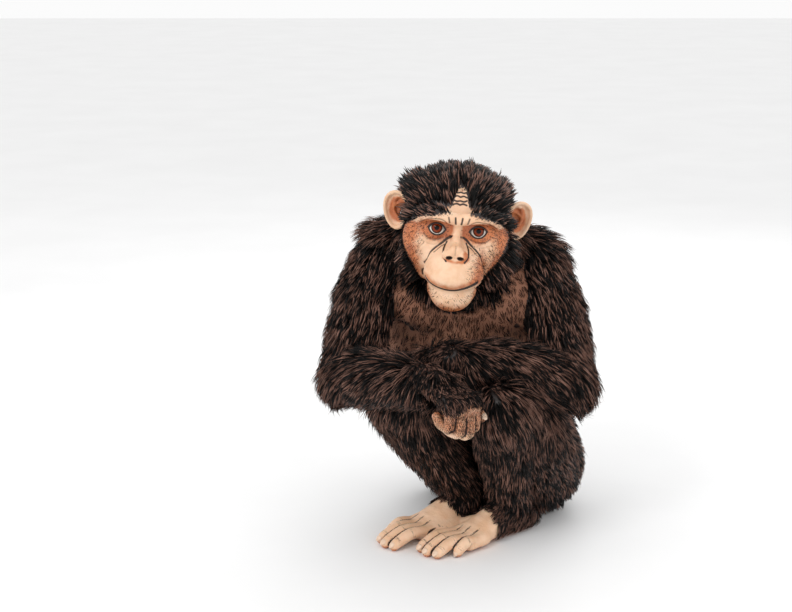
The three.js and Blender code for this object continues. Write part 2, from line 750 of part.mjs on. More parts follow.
const trunk = trunkLoft();
const yokes = SIDES.map((side) =>
  segment(YOKE[side].from, YOKE[side].to, YOKE.profile, COAT.torso, [0, 1, 0], { rings: 2, sides: 9 }),
);
const flank = ball(FLANK.at, FLANK.half.map((half) => half + COAT.torso * CORE_SHARE), 10, 8);
const backLocks = coatRows(onLoft(trunk), {
  us: [0.94, 0.2],
  vs: [-0.45, Math.PI + 0.45],
  rows: 5,
  around: 6,
  flow: -1,
  rise: tipRise(COAT.torso),
  seed: 23,
});
addNode("torso", FUR, { lofts: [trunk, ...yokes], forms: [flank], locks: backLocks });
const neck = segment(NECK.from, NECK.to, NECK.profile, COAT.neck, [0, 1, 0], { rings: 3, sides: 12 });
addNode("neck", FUR, { lofts: [neck] });

// A limb's segment by its name, as a node's body
function limb(name, from, to, coat, up, side, options = {}) {
  const [x, y, z] = LIMBS[name].bow;
  return segment(from, to, LIMBS[name].profile, coat, up, { bow: [OUTWARD[side] * x, y, z], ...options });
}

for (const side of SIDES) addNode("foot_" + side, SKIN, { lofts: footParts(side) });
for (const side of SIDES) {
  const shank = limb("shank", KNEE[side], ANKLE[side], COAT.shank, [0, 1, 0], side);
  const locks = coatRows(onLoft(shank), {
    us: [0.0, 0.86],
    vs: [0, FULL_TURN],
    rows: 4,
    around: 5,
    flow: 1,
    rise: tipRise(COAT.shank),
    seed: 31 + OUTWARD[side],
  });
  addNode("shank_" + side, FUR, { lofts: [shank], locks });
}
for (const side of SIDES) {
  const thigh = limb("thigh", HIP[side], KNEE[side], COAT.thigh, [0, 0, 1], side, { sides: 12 });
  const locks = coatRows(onLoft(thigh), {
    us: [0.96, 0.22],
    vs: [0, FULL_TURN],
    rows: 3,
    around: 5,
    flow: -1,
    rise: tipRise(COAT.thigh),
    seed: 41 + OUTWARD[side],
  });
  addNode("thigh_" + side, FUR, { lofts: [thigh], locks });
}
for (const side of SIDES) addNode("hand_" + side, SKIN, { lofts: handParts(side) });
for (const side of [...SIDES].reverse()) {
  const forearm = limb("forearm", ELBOW[side], WRIST[side], COAT.forearm, [0, 0, 1], side);
  const locks = coatRows(onLoft(forearm), {
    us: [0.92, 0.12],
    vs: [0, FULL_TURN],
    rows: 4,
    around: 5,
    flow: -1,
    rise: tipRise(COAT.forearm),
    seed: 51 + OUTWARD[side],
    scale: 0.9,
  });
  addNode("forearm_" + side, FUR, { lofts: [forearm], locks });
}
for (const side of SIDES) {
  const upperArm = limb("upperArm", SHOULDER[side], ELBOW[side], COAT.arm, [0, 1, 0], side);
  const locks = coatRows(onLoft(upperArm), {
    us: [0.08, 0.82],
    vs: [0, FULL_TURN],
    rows: 3,
    around: 5,
    flow: 1,
    rise: tipRise(COAT.arm),
    seed: 61 + OUTWARD[side],
  });
  addNode("upper_arm_" + side, FUR, { lofts: [upperArm], locks });
}

// Whether a place lies within an ear's own room
function byEar(place) {
  const p = place.clone().applyMatrix4(inHead);
  const beside = Math.abs(p.x) > EAR.root[0] - EAR_ROOM.inside;
  const along = (p.y - EAR.root[1] - EAR_ROOM.behind) / EAR_ROOM.half[0];
  const high = (p.z - EAR.root[2]) / EAR_ROOM.half[1];
  return beside && Math.hypot(along, high) < 1;
}

// A lock is left out where the middle of it would lie in another body, by an ear, or its tip below the floor
function isClear(name, { surface, lock }) {
  const place = lockGeometry(surface, lock).getAttribute("position");
  const at = (index) => new THREE.Vector3().fromBufferAttribute(place, index);
  const middle = at(5); // the ridge of the second ring
  const tip = at(place.count - 1);
  if (tip.z < LOCK_FLOOR.tip || middle.z < LOCK_FLOOR.middle) return false;
  for (let i = 1; i < place.count; i++) if (byEar(at(i))) return false;
  for (const [other, node] of nodes)
    if (other !== name && node.lofts.some((loft) => loft.holds(middle, CLEAR))) return false;
  return name === "head" || headDistance(middle.clone().applyMatrix4(inHead)) > COAT.crown * CORE_SHARE + 4;
}

// Each node is cut clear of the ones before it, and of the floor
const FLOOR_DEPTH = 400;
const floor = solidOf(new THREE.BoxGeometry(3000, 3000, FLOOR_DEPTH).translate(0, 0, -FLOOR_DEPTH / 2));
const chimpanzee = new THREE.Group();
chimpanzee.name = "chimpanzee";
const kept = [];
const apart = (a, b) => a.min.some((low, i) => low > b.max[i] || b.min[i] > a.max[i]);
for (const [name, node] of nodes) {
  const locks = node.locks.filter((one) => isClear(name, one));
  const grownLocks = locks.map(({ surface, lock }) => solidOf(lockGeometry(surface, lock, LOCK.margin)));
  const lockSolids = locks.map(({ surface, lock }) => solidOf(lockGeometry(surface, lock)));
  let solid = joined([...node.forms.map(solidOf), ...lockSolids]);
  solid = tidied(solid, SLACK.own);
  const room = joined([solid, ...node.forms.map((form) => solidOf(grown(form, GAP))), ...grownLocks]);
  for (const cut of node.cuts) solid = solid.subtract(solidOf(cut));
  solid = solid.subtract(floor);
  for (const earlier of kept)
    if (!apart(earlier.boundingBox(), solid.boundingBox())) solid = solid.subtract(earlier);
  kept.push(tidied(room, SLACK.room));
  const geometry = geometryOf(tidied(largest(solid), SLACK.last));
  const mesh = new THREE.Mesh(geometry, new THREE.MeshStandardMaterial(node.look));
  mesh.name = name;
  chimpanzee.add(mesh);
}

// The origin is the middle of the part's box, on the floor
const box = new THREE.Box3().setFromObject(chimpanzee);
const middle = box.getCenter(new THREE.Vector3());
chimpanzee.position.set(-middle.x, -middle.y, -box.min.z);

export default chimpanzee;
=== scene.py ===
# A chimpanzee sitting with its arms folded over its knees: one skin, a coat of tufts, eyes and nails.
# Lengths are millimetres in the body's own frame, +Z up, facing -Y, and become metres in the meshes.
import math

import bmesh
import bpy
import mathutils
import numpy as np
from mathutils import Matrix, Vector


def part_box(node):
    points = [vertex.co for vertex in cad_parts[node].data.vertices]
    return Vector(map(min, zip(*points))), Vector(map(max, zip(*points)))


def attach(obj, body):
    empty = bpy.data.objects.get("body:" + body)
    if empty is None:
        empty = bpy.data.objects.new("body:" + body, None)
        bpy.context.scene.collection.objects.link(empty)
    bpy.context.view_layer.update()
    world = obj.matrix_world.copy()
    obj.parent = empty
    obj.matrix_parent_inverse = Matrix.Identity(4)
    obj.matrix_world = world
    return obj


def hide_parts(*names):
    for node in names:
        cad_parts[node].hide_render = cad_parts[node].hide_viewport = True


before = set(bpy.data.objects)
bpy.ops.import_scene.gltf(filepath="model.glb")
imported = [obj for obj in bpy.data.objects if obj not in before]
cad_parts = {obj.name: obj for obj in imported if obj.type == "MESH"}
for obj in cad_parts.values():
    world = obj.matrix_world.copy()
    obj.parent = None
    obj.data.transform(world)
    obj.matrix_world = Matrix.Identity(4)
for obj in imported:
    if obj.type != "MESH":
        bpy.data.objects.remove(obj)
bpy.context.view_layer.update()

import openvdb
from mathutils import Matrix, Vector

MM = 0.001
SEED = 11
SIDES = ("left", "right")
OUTWARD = {"left": 1, "right": -1}

# Joint places, as in the part's source
HIP = {"left": (142, 16, 94), "right": (6, 84, 90)}
KNEE = {"left": (66, -185, 252), "right": (-104, -112, 258)}
ANKLE = {"left": (86, -92, 64), "right": (8, -50, 64)}
HEEL = {"left": (124, -56, 0), "right": (50, -14, 0)}
FOOT_AIM = {"left": (-0.755, -0.656, 0), "right": (-0.79, -0.613, 0)}
SHOULDER = {"left": (128, 25, 438), "right": (-121, 30, 456)}
ELBOW = {"left": (178, -138, 288), "right": (-192, -108, 290)}
WRIST = {"left": (-42, -158, 330), "right": (-47, -250, 316)}
HAND_AIM = {"left": (-0.82, 0.5, -0.22), "right": (0.596, -0.751, -0.285)}
HAND_BACK = {"left": (0, 0.3, 0.95), "right": (0.2, -0.2, 0.96)}
HEAD_PLACE = (-8, -71, 542)
HEAD_TURN = {"pitch": 9, "roll": 5, "yaw": 1.5}


def vec(*parts):
    return np.array(parts if len(parts) > 1 else parts[0], float)


def unit(a):
    a = np.asarray(a, float)
    return a / np.linalg.norm(a, axis=-1, keepdims=True)


def ease(low, high, value):
    t = np.clip((value - low) / (high - low), 0, 1)
    return t * t * (3 - 2 * t)


def lengths(rows):
    return np.linalg.norm(rows, axis=1)


# The head's own frame: the face looks along -y, +z is up, +x is the animal's left
def head_rotation():
    pitch, roll, yaw = (math.radians(HEAD_TURN[key]) for key in ("pitch", "roll", "yaw"))
    turn = Matrix.Rotation(-yaw, 3, "Z") @ Matrix.Rotation(roll, 3, "Y") @ Matrix.Rotation(pitch, 3, "X")
    return np.array(turn)


HEAD_ROTATION = head_rotation()


def from_head(points):
    return np.asarray(points, float) @ HEAD_ROTATION.T + vec(HEAD_PLACE)


def to_head(points):
    return (points - vec(HEAD_PLACE)) @ HEAD_ROTATION


# The left eye in the head's frame, and the radius of both
EYE = {"place": (34, -61, 14), "radius": 16}

# Where the body's own frame stands in the part's: both know the left eye
eye_low, eye_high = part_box("eye_left")
eye_middle = (vec(*eye_low) + vec(*eye_high)) / 2
FRAME_SHIFT = eye_middle / MM - from_head(EYE["place"])


def to_world(points):
    return (np.asarray(points) + FRAME_SHIFT) * MM


# Distance functions: each takes an array of points and gives millimetres, below zero inside
def ellipsoid(points, centre, half):
    half = vec(half)
    scaled = (points - vec(centre)) / half
    near = lengths(scaled)
    steep = lengths(scaled / half)
    return near * (near - 1) / np.maximum(steep, 1e-9)


def rod(points, a, b, radius_a, radius_b):
    a, b = vec(a), vec(b)
    along = b - a
    share = np.clip((points - a) @ along / (along @ along), 0, 1)
    away = points - a - share[:, None] * along
    return lengths(away) - (radius_a + (radius_b - radius_a) * share)


def tube(points, path, radii):
    radii = [radii] * len(path) if np.isscalar(radii) else radii
    best = rod(points, path[0], path[1], radii[0], radii[1])
    for i in range(1, len(path) - 1):
        best = np.minimum(best, rod(points, path[i], path[i + 1], radii[i], radii[i + 1]))
    return best


def melt(a, b, soft):
    soft = np.maximum(soft, 1e-6)
    h = np.maximum(soft - np.abs(a - b), 0) / soft
    return np.minimum(a, b) - h * h * soft / 4


def carve(a, b, soft):
    return -melt(-a, b, soft)


# A smooth line through points, with values carried along it
def smooth_line(points, count):
    points = np.asarray(points, float)
    ends = np.vstack([2 * points[0] - points[1], points, 2 * points[-1] - points[-2]])
    out = []
    spans = len(points) - 1
    for place in np.linspace(0, spans, count):
        i = min(int(place), spans - 1)
        t = place - i
        p0, p1, p2, p3 = ends[i:i + 4]
        out.append(0.5 * (2 * p1 + (p2 - p0) * t + (2 * p0 - 5 * p1 + 4 * p2 - p3) * t ** 2
                          + (3 * p1 - p0 - 3 * p2 + p3) * t ** 3))
    return np.array(out)


# A round body along a line, oval across: the widths are half-sizes to the side, on the up side and the down side
class Loft:
    def __init__(self, centres, ups, widths, count):
        table = np.hstack([np.asarray(centres, float), np.asarray(ups, float), np.asarray(widths, float)])
        line = smooth_line(table, count)
        self.centre = line[:, 0:3]
        self.width = np.maximum(line[:, 6:9], 1)
        along = unit(np.gradient(self.centre, axis=0))
        up = line[:, 3:6]
        self.up = unit(up - np.sum(up * along, axis=1, keepdims=True) * along)
        self.along = along
        self.side = np.cross(along, self.up)

    def __call__(self, points):
        best = np.full(len(points), 1e6)
        for i in range(len(self.centre) - 1):
            a, b = self.centre[i], self.centre[i + 1]
            step = b - a
            share = np.clip((points - a) @ step / (step @ step), 0, 1)[:, None]
            away = points - a - share * step
            side = self.side[i] + share * (self.side[i + 1] - self.side[i])
            up = self.up[i] + share * (self.up[i + 1] - self.up[i])
            along = self.along[i] + share * (self.along[i + 1] - self.along[i])
            wide = self.width[i] + share * (self.width[i + 1] - self.width[i])
            x = np.sum(away * side, axis=1)
            y = np.sum(away * up, axis=1)
            z = np.sum(away * along, axis=1)
            tall = np.where(y > 0, wide[:, 1], wide[:, 2])
            cap = np.minimum(wide[:, 0], tall)
            near = np.sqrt((x / wide[:, 0]) ** 2 + (y / tall) ** 2 + (z / cap) ** 2)
            steep = np.sqrt((x / wide[:, 0] ** 2) ** 2 + (y / tall ** 2) ** 2 + (z / cap ** 2) ** 2)
            best = np.minimum(best, near * (near - 1) / np.maximum(steep, 1e-9))
        return best


# Trunk: place, turn to the animal's left in degrees, half-width, depth in front, depth behind
TRUNK = (
    ((76, 66, 30), 24, 92, 56, 64),
    ((76, 66, 60), 24, 102, 66, 78),
    ((74, 66, 100), 24, 108, 74, 82),
    ((62, 64, 190), 18, 108, 84, 80),
    ((40, 56, 285), 10, 116, 94, 80),
    ((18, 40, 375), 4, 126, 100, 80),
    ((8, 26, 445), 0, 108, 76, 72),
    ((3, 8, 495), 0, 72, 54, 58),
)
TRUNK_LOW = 4
BUTTOCK = {"at": {"left": (124, 52, 62), "right": (36, 96, 60)}, "half": (62, 66, 58)}
BREAST = {"at": {"left": (62, -36, 400), "right": (-56, -32, 404)}, "half": (62, 34, 52)}
NIPPLE = {"at": {"left": (98, 364), "right": (-82, 350)}, "half": (4.4, 4.5, 4.4)}
FLANK = ((-84, 56, 340), (46, 62, 92))
YOKE = {"left": ((44, 26, 490), (118, 30, 460), 46, 44), "right": ((-36, 30, 500), (-120, 34, 474), 46, 44)}
NECK = ((6, 24, 446), (0, -50, 525), 74, 58)


def trunk_loft():
    centres = [stop[0] for stop in TRUNK]
    ups = [(math.sin(math.radians(stop[1])), math.cos(math.radians(stop[1])), 0) for stop in TRUNK]
    widths = [(stop[2], stop[4], stop[3]) for stop in TRUNK]
    return Loft(centres, ups, widths, 16)


# Limbs: joints at both ends, bend in the middle on each side, and half-widths at shares of the way
LIMBS = {
    "arm": (SHOULDER, ELBOW, {"left": (9, 4, 4), "right": (9, 4, 4)}, ((0, 50), (0.25, 52), (0.55, 43), (1, 33))),
    "forearm": (ELBOW, WRIST, {"left": (0, 0, 9), "right": (0, 0, 3)}, ((0, 33), (0.3, 38), (0.65, 30), (1, 22))),
    "thigh": (HIP, KNEE, {"left": (10, 0, 12), "right": (10, 0, 12)}, ((0, 70), (0.4, 68), (0.75, 54), (1, 44))),
    "shank": (KNEE, ANKLE, {"left": (0, 0, 0), "right": (0, 0, 0)}, ((0, 42), (0.28, 42), (0.6, 33), (1, 25))),
}


def limb_path(kind, side):
    start, end, bend, _ = LIMBS[kind]
    a, b = start[side], end[side]
    middle = (vec(a) + vec(b)) / 2 + vec(bend[side]) * (OUTWARD[side], 1, 1)
    return smooth_line([a, middle, b], 7)


def limb(points, path, profile):
    shares = np.linspace(0, 1, len(path))
    radii = np.interp(shares, [stop[0] for stop in profile], [stop[1] for stop in profile])
    return tube(points, path, radii)


# Hands and feet, laid out from the wrist or heel: along, across towards the thumb or big toe, and up
FINGERS = (
    # across, knuckle, bones, radius: index to little finger
    (24, 66, (40, 26, 17), 9.5),
    (8, 70, (45, 30, 18), 10.0),
    (-8, 67, (42, 28, 18), 9.8),
    (-23, 61, (34, 21, 15), 8.8),
)
CURL = {"left": (40, 60, 40), "right": (66, 92, 48)}
TOES = (
    # across, tip, radius: second to fifth toe
    (27, 236, 9.8),
    (9, 240, 10.0),
    (-9, 234, 9.8),
    (-25, 202, 9.2),
)
TOE_ROOT = 140
TOE_STOPS = ((0.22, 1, 18), (0.55, 1.04, 21), (0.84, 1.06, 12.5))
PALM = (
    # along, across, height, half-width, above, below
    (-26, 0, 0, 25, 22, 22),
    (4, 0, 0, 26, 19, 19),
    (34, 2, 1, 31, 16, 16),
    (62, 1, 0, 36, 14, 14),
    (76, 0, -3, 33, 12, 12),
)
SOLE = (
    (2, 0, 20, 20, 18, 20),
    (24, 0, 24, 26, 26, 25),
    (62, -1, 30, 25, 33, 30),
    (104, 0, 23, 29, 26, 23),
    (140, 0, 15, 35, 17, 15.5),
    (166, 0, 11, 35, 10, 11.5),
)
INSTEP = {"from": (50, 0, 66), "to": (54, 0, 36), "radius": 27, "soft": 14}
LIMB_ENDS = {
    "hand": {
        "root": WRIST, "aim": HAND_AIM, "up": HAND_BACK, "flat": (PALM, 9),
        "digit": {"count": 13, "stops": (0, 0.25, 0.5, 0.75, 1), "taper": (1, 1.08, 1.0, 0.95, 0.84),
                  "web_joint": 1, "web": 9, "web_reach": (8, 30)},
        "first": {"path": ((16, 16, -6), (34, 30, -12), (54, 40, -18), (74, 44, -25)),
                  "count": 8, "radii": (12.5, 9), "soft": 5},
        "box": ((-125, -125, -125), (125, 125, 125)),
    },
    "foot": {
        "root": HEEL, "aim": FOOT_AIM, "up": {"left": (0, 0, 1), "right": (0, 0, 1)}, "flat": (SOLE, 12),
        "digit": {"count": 11, "stops": (0, 0.3, 0.55, 0.8, 1), "taper": (1, 0.98, 1.04, 0.94, 0.84),
                  "web_joint": 0, "web": 8, "web_reach": (10, 34)},
        "first": {"path": ((78, 18, 20), (104, 36, 18), (132, 45, 14), (152, 46, 11)),
                  "count": 9, "radii": (15, 11), "soft": 6},
        "box": ((-250, -250, -250), (250, 250, 100)),
    },
}
DIGIT_GAP = 1.2


class LimbEnd:
    def __init__(self, kind, side):
        self.form = LIMB_ENDS[kind]
        self.root = vec(self.form["root"][side])
        self.aim = unit(vec(self.form["aim"][side]))
        up = vec(self.form["up"][side])
        self.up = unit(up - up @ self.aim * self.aim)
        self.inner = np.cross(self.up, self.aim) * -OUTWARD[side]
        stops, count = self.form["flat"]
        centres = [self.place(*stop[:3]) for stop in stops]
        self.flat = Loft(centres, [self.up] * len(stops), [stop[3:] for stop in stops], count)
        self.first = np.array([self.place(*stop) for stop in self.form["first"]["path"]])
        self.is_foot = kind == "foot"
        if self.is_foot:
            self.digits = [self.toe(*row) for row in TOES]
        else:
            self.digits = [self.finger(*row, CURL[side]) for row in FINGERS]

    def place(self, along, across, high):
        return self.root + along * self.aim + across * self.inner + high * self.up

    def laid_out(self, points):
        away = points - self.root
        return away @ self.aim, away @ self.inner, away @ self.up

    def finger(self, across, knuckle, bones, radius, curls):
        joints = [self.place(knuckle - 16, across * 0.85, -1), self.place(knuckle, across, 2)]
        bent = 0
        for bone, curl in zip(bones, curls):
            bent += math.radians(curl)
            joints.append(joints[-1] + (math.cos(bent) * self.aim - math.sin(bent) * self.up) * bone)
        return np.array(joints), radius

    def toe(self, across, tip, radius):
        joints = [self.place(TOE_ROOT - 8, across * 0.92, 15)]
        for share, wide, high in TOE_STOPS:
            joints.append(self.place(TOE_ROOT + (tip - TOE_ROOT) * share, across * wide, high))
        joints.append(self.place(tip - 7, across * 1.06, 8.5))
        return np.array(joints), radius

    def __call__(self, points):
        distance = self.flat(points)
        if self.is_foot:
            ends = self.place(*INSTEP["from"]), self.place(*INSTEP["to"])
            distance = melt(distance, rod(points, *ends, INSTEP["radius"], INSTEP["radius"]), INSTEP["soft"])
        digit = self.form["digit"]
        for joints, radius in self.digits:
            shares = np.linspace(0, 1, digit["count"])
            radii = np.interp(shares, digit["stops"], radius * np.array(digit["taper"]))
            one = tube(points, smooth_line(joints, digit["count"]), radii)
            away = lengths(points - joints[digit["web_joint"]])
            distance = melt(distance, one, DIGIT_GAP + digit["web"] * (1 - ease(*digit["web_reach"], away)))
        first = self.form["first"]
        radii = np.linspace(*first["radii"], first["count"])
        return melt(distance, tube(points, smooth_line(self.first, first["count"]), radii), first["soft"])

    def box(self):
        return self.root + self.form["box"][0], self.root + self.form["box"][1]


# Head masses in the head's frame: centre, half-sizes, and how softly each melts into the rest
HEAD_MASSES = (
    ((0, 16, 29), (82, 86, 60), 0),
    ((0, -38, 8), (70, 40, 42), 16),
    ((0, -80, -38), (46, 48, 36), 20),
    ((0, -90, -52), (49, 42, 28), 10),
    ((0, -70, -86), (41, 46, 28), 12),
    ((0, -94, -92), (31, 25, 24), 9),
    ((0, -12, -42), (60, 50, 54), 20),
)
PAIRED_MASSES = (
    ((55, -41, -10), (34, 32, 42), 20),
    ((47, -17, -48), (27, 38, 40), 26),
)
BROW_PATH = ((0, -83, 39), (16, -88, 43), (34, -87, 46), (52, -74, 40), (67, -55, 25))
BROW_RADIUS, BROW_SOFT = 10, 8
SOCKET = ((34, -91, 19), (22, 18, 16), 8)


# Both halves of the head laid over each other, folded at the given middle
def halved(points, middle=0):
    p = points.copy()
    p[:, 0] = np.abs(p[:, 0] - middle)
    return p


def head_form(points):
    p = halved(points)
    distance = None
    for centre, half, soft in HEAD_MASSES + PAIRED_MASSES:
        one = ellipsoid(p, centre, half)
        distance = one if distance is None else melt(distance, one, soft)
    front = p[:, 1] < -25
    q = p[front]
    part = melt(distance[front], tube(q, BROW_PATH, BROW_RADIUS), BROW_SOFT)
    distance[front] = carve(part, ellipsoid(q, *SOCKET[:2]), SOCKET[2])
    return distance


# Where a line along y first meets a form, coming from the front
def front_of(form, x, z, start=-200.0, end=-10.0, rounds=30):
    low, high = np.full(len(x), start), np.full(len(x), end)
    for step in np.linspace(start, end, 60):
        inside = form(np.stack([x, np.full(len(x), step), z], axis=1)) < 0
        high = np.where(inside & (high == end), step, high)
    low = np.where(high < end, high - 4, low)
    for _ in range(rounds):
        middle = (low + high) / 2
        inside = form(np.stack([x, middle, z], axis=1)) < 0
        high = np.where(inside, middle, high)
        low = np.where(inside, low, middle)
    return (low + high) / 2


def on_front(form, path, count):
    line = smooth_line([(x, 0, z) for x, z in path], count)
    line[:, 1] = front_of(form, line[:, 0], line[:, 2])
    return line


# Folds of one half of the face: each is a groove through places across and up, with its radius and softness
LIP_LINE = ((-46, -57), (-37, -63.5), (-25, -67.5), (-9, -69), (4, -68), (20, -62.5), (31, -58), (39, -54.5))
FOLDS = (
    # path on the face, half-width and softness of the furrow, and how dark its painted shade is
    # from the root of the nose, round the muzzle, to behind the corner of the mouth
    (((6.5, 11), (15.5, 5), (23.5, -2.5), (32, -9.5), (41.5, -20.5), (46, -32.5), (50, -45)), 1.6, 2.8, 1.0),
    (((17, -2), (26, -8), (36, -17)), 0.7, 2.0, 0.6),
    (((50, -6), (60, -18), (66, -34)), 0.7, 2.4, 0.3),
    # pouches under the eye
    (((22, 5), (33, 0), (46, 0.5), (55, 7)), 1.1, 2.4, 0.45),
    (((28, -6), (42, -9), (56, -5), (65, 5)), 0.7, 2.2, 0.35),
    (((58, 24), (65, 14), (67, 4)), 0.6, 2.2, 0.35),
    (((60, 16), (68, 8), (70, -4)), 0.5, 2.0, 0.3),
    # above the upper lid
    (((16, 30), (22, 38), (32, 42), (50, 36), (63, 25)), 1.1, 2.6, 0.5),
    # frown
    (((4.5, 34), (5.5, 46)), 1.1, 2.4, 0.7),
    (((14.5, 37), (17, 47)), 0.9, 2.4, 0.6),
    # behind the corner of the mouth
    (((46, -56), (51, -63), (50, -74)), 1.2, 2.4, 0.8),
    (((31, -86), (39, -80), (43, -70)), 0.7, 2.4, 0.3),
)
# Lines of painted shade alone, with no groove: the outline of the nose and the furrows of the forehead
THIN_LINES = (
    ((16, 0), (20, -7), (20.5, -14), (15, -20.5)),
    ((0, 57), (5, 58.5), (11, 57)),
    ((0, 62.5), (6, 61.5), (11, 63)),
    ((0, 67), (5, 68.5), (10, 67)),
    ((0, 73), (5, 72), (9, 73)),
)
NOSE = {
    "bridge": ((0, -76, 22), (0, -86, 10), (0, -102, 0)),
    "bridge_radius": (7, 7, 7.5),
    "middle": -1.5,
    "tip": ((0, -113, -5), (12, 10, 11)),
    "wing": ((11.5, -113, -11), (9.5, 10, 8.5)),
    "nostril": ((9.0, -124, -13.5), (4.8, 10, 2.9)),
}
NOSE_GROOVE = ((-1, 8), (-1.4, 0), (-1.4, -9))
APERTURE = {"half": 12.8, "above": 8.2, "below": 8.0, "rise": 3.2, "tilt": 3.0}
LID = 2.4


def lens_cut(across, up):
    half = APERTURE["half"]
    radius_above = (half ** 2 + APERTURE["above"] ** 2) / (2 * APERTURE["above"])
    radius_below = (half ** 2 + APERTURE["below"] ** 2) / (2 * APERTURE["below"])
    above = np.hypot(across, up - APERTURE["above"] + radius_above) - radius_above
    below = np.hypot(across, up + APERTURE["below"] - radius_below) - radius_below
    return np.maximum(above, below)


# Places across and up in the opening between the lids, and away from the eye's middle
def eye_frame(q):
    away = q - vec(EYE["place"])
    tilt = math.radians(APERTURE["tilt"])
    rise = away[:, 2] - APERTURE["rise"]
    across = away[:, 0] * math.cos(tilt) + rise * math.sin(tilt)
    up = -away[:, 0] * math.sin(tilt) + rise * math.cos(tilt)
    return across, up, away


def nose_form(points, distance):
    p = halved(points, NOSE["middle"])
    distance = melt(distance, tube(p, NOSE["bridge"], NOSE["bridge_radius"]), 12)
    distance = melt(distance, ellipsoid(p, *NOSE["tip"]), 6)
    return melt(distance, ellipsoid(p, *NOSE["wing"]), 3)


def smooth_face(points):
    return nose_form(points, head_form(points))


FOLD_LINES = [(on_front(smooth_face, path, 13), radius, soft, ink) for path, radius, soft, ink in FOLDS]
THIN_PATHS = [on_front(smooth_face, path, 7) for path in THIN_LINES]
LIP_PATH = on_front(smooth_face, LIP_LINE, 19)
NOSE_GROOVE_PATH = on_front(smooth_face, NOSE_GROOVE, 7)


def face(points):
    distance = head_form(points)
    front = points[:, 1] < -30
    distance[front] = face_details(points[front], distance[front])
    return distance


def face_details(points, distance):
    p = halved(points)
    across, up, away = eye_frame(p)
    lid = lengths(away) - EYE["radius"] - LID
    distance = melt(distance, lid, 4)
    distance = nose_form(points, distance)
    for path, radius, soft, _ in FOLD_LINES:
        distance = carve(distance, tube(p, path, radius), soft)
    distance = carve(distance, tube(points, LIP_PATH, 1.7), 3.0)
    distance = carve(distance, tube(points, NOSE_GROOVE_PATH, 1.2), 3.5)
    distance = carve(distance, ellipsoid(halved(points, NOSE["middle"]), *NOSE["nostril"]), 2)
    cut = np.maximum(lens_cut(across, up), away[:, 1] + 5)
    return carve(distance, cut, 1.4)


# An ear in its own frame: u away from the head, v up, w towards the front
EAR = {"height": 63, "width": 46, "root": (86, 8, 12), "splay": 26, "cup": 12, "thick": 1.9}


# Folds of the ear, as u, w and v: the inner fold, its fork at the top, and the flap before the canal
EAR_FOLDS = (
    # path, places along it, radius, softness
    (((10, -3.5, -20), (22, -3.8, -10), (28, -3.8, 4), (24, -3.2, 18), (16, -2.5, 26)), 11, 2.7, 3.5),
    (((27, -4, 4), (16, -6.5, 13), (8, -5, 17)), 7, 2.2, 3.5),
    (((3, -1, -10), (6, 0, -4), (4, -1, 3)), 5, 3.6, 3),
)
CANAL = ((10, -12, -8), (7, 9, 8))


class Ear:
    def __init__(self, side):
        self.out = OUTWARD[side]
        splay = math.radians(EAR["splay"])
        self.u = vec(math.cos(splay), math.sin(splay), 0)
        self.w = vec(math.sin(splay), -math.cos(splay), 0)
        self.v = vec(0, 0, 1)

    def laid_out(self, points):
        p = points * (self.out, 1, 1) - vec(EAR["root"])
        return p @ self.u, p @ self.v, p @ self.w

    def __call__(self, points):
        u, v, w = self.laid_out(points)
        flat = np.stack([u, w, v], axis=1)
        half_high, half_wide = EAR["height"] / 2, EAR["width"] / 2
        lean = 1 + 0.17 * np.clip(v / half_high, -1, 1)
        x = (u - half_wide * 0.8) / (half_wide * lean)
        y = v / half_high
        share = np.sqrt(x * x + y * y)
        bowl = -EAR["cup"] * (1 - np.clip(share, 0, 1.2) ** 2)
        shell = np.abs(w - bowl) * 0.8 - EAR["thick"]
        outline = (share - 1) * half_wide
        shell = np.maximum(shell, outline)
        # the rolled rim, open towards the head
        angles = np.radians(np.linspace(128, -118, 19))
        rim = np.stack([np.cos(angles) * half_wide * (1 + 0.17 * np.sin(angles)) + half_wide * 0.8,
                        np.full(19, 1.0), np.sin(angles) * half_high], axis=1)
        radii = np.interp(np.linspace(0, 1, 19), (0, 0.5, 0.85, 1), (3.4, 2.9, 2.6, 4.2))
        distance = melt(shell, tube(flat, rim, radii), 3)
        for path, count, radius, soft in EAR_FOLDS:
            distance = melt(distance, tube(flat, smooth_line(path, count), radius), soft)
        return carve(distance, ellipsoid(flat, *CANAL), 3)


# Boxes in which the parts count, how softly they melt into each other, and the skin's gap over the floor
TRUNK_BOX = ((-140, -110, 0), (220, 180, 600))
REACH = {"head": 165, "ear": 55, "limb": 75}
EAR_MIDDLE = (22, 8, 0)
PART_MARGIN = 14
FAR = 60.0
MELT = {"trunk": 26, "yoke": 24, "breast": 20, "nipple": 3, "neck": 24, "ear": 5, "elbow": 12, "wrist": 8,
        "knee": 10, "ankle": 12}
TOUCH = 0.5
JOIN = {"soft": 40, "shoulder": (70, 170), "hip": (80, 190)}
FLOOR_GAP = 0.3


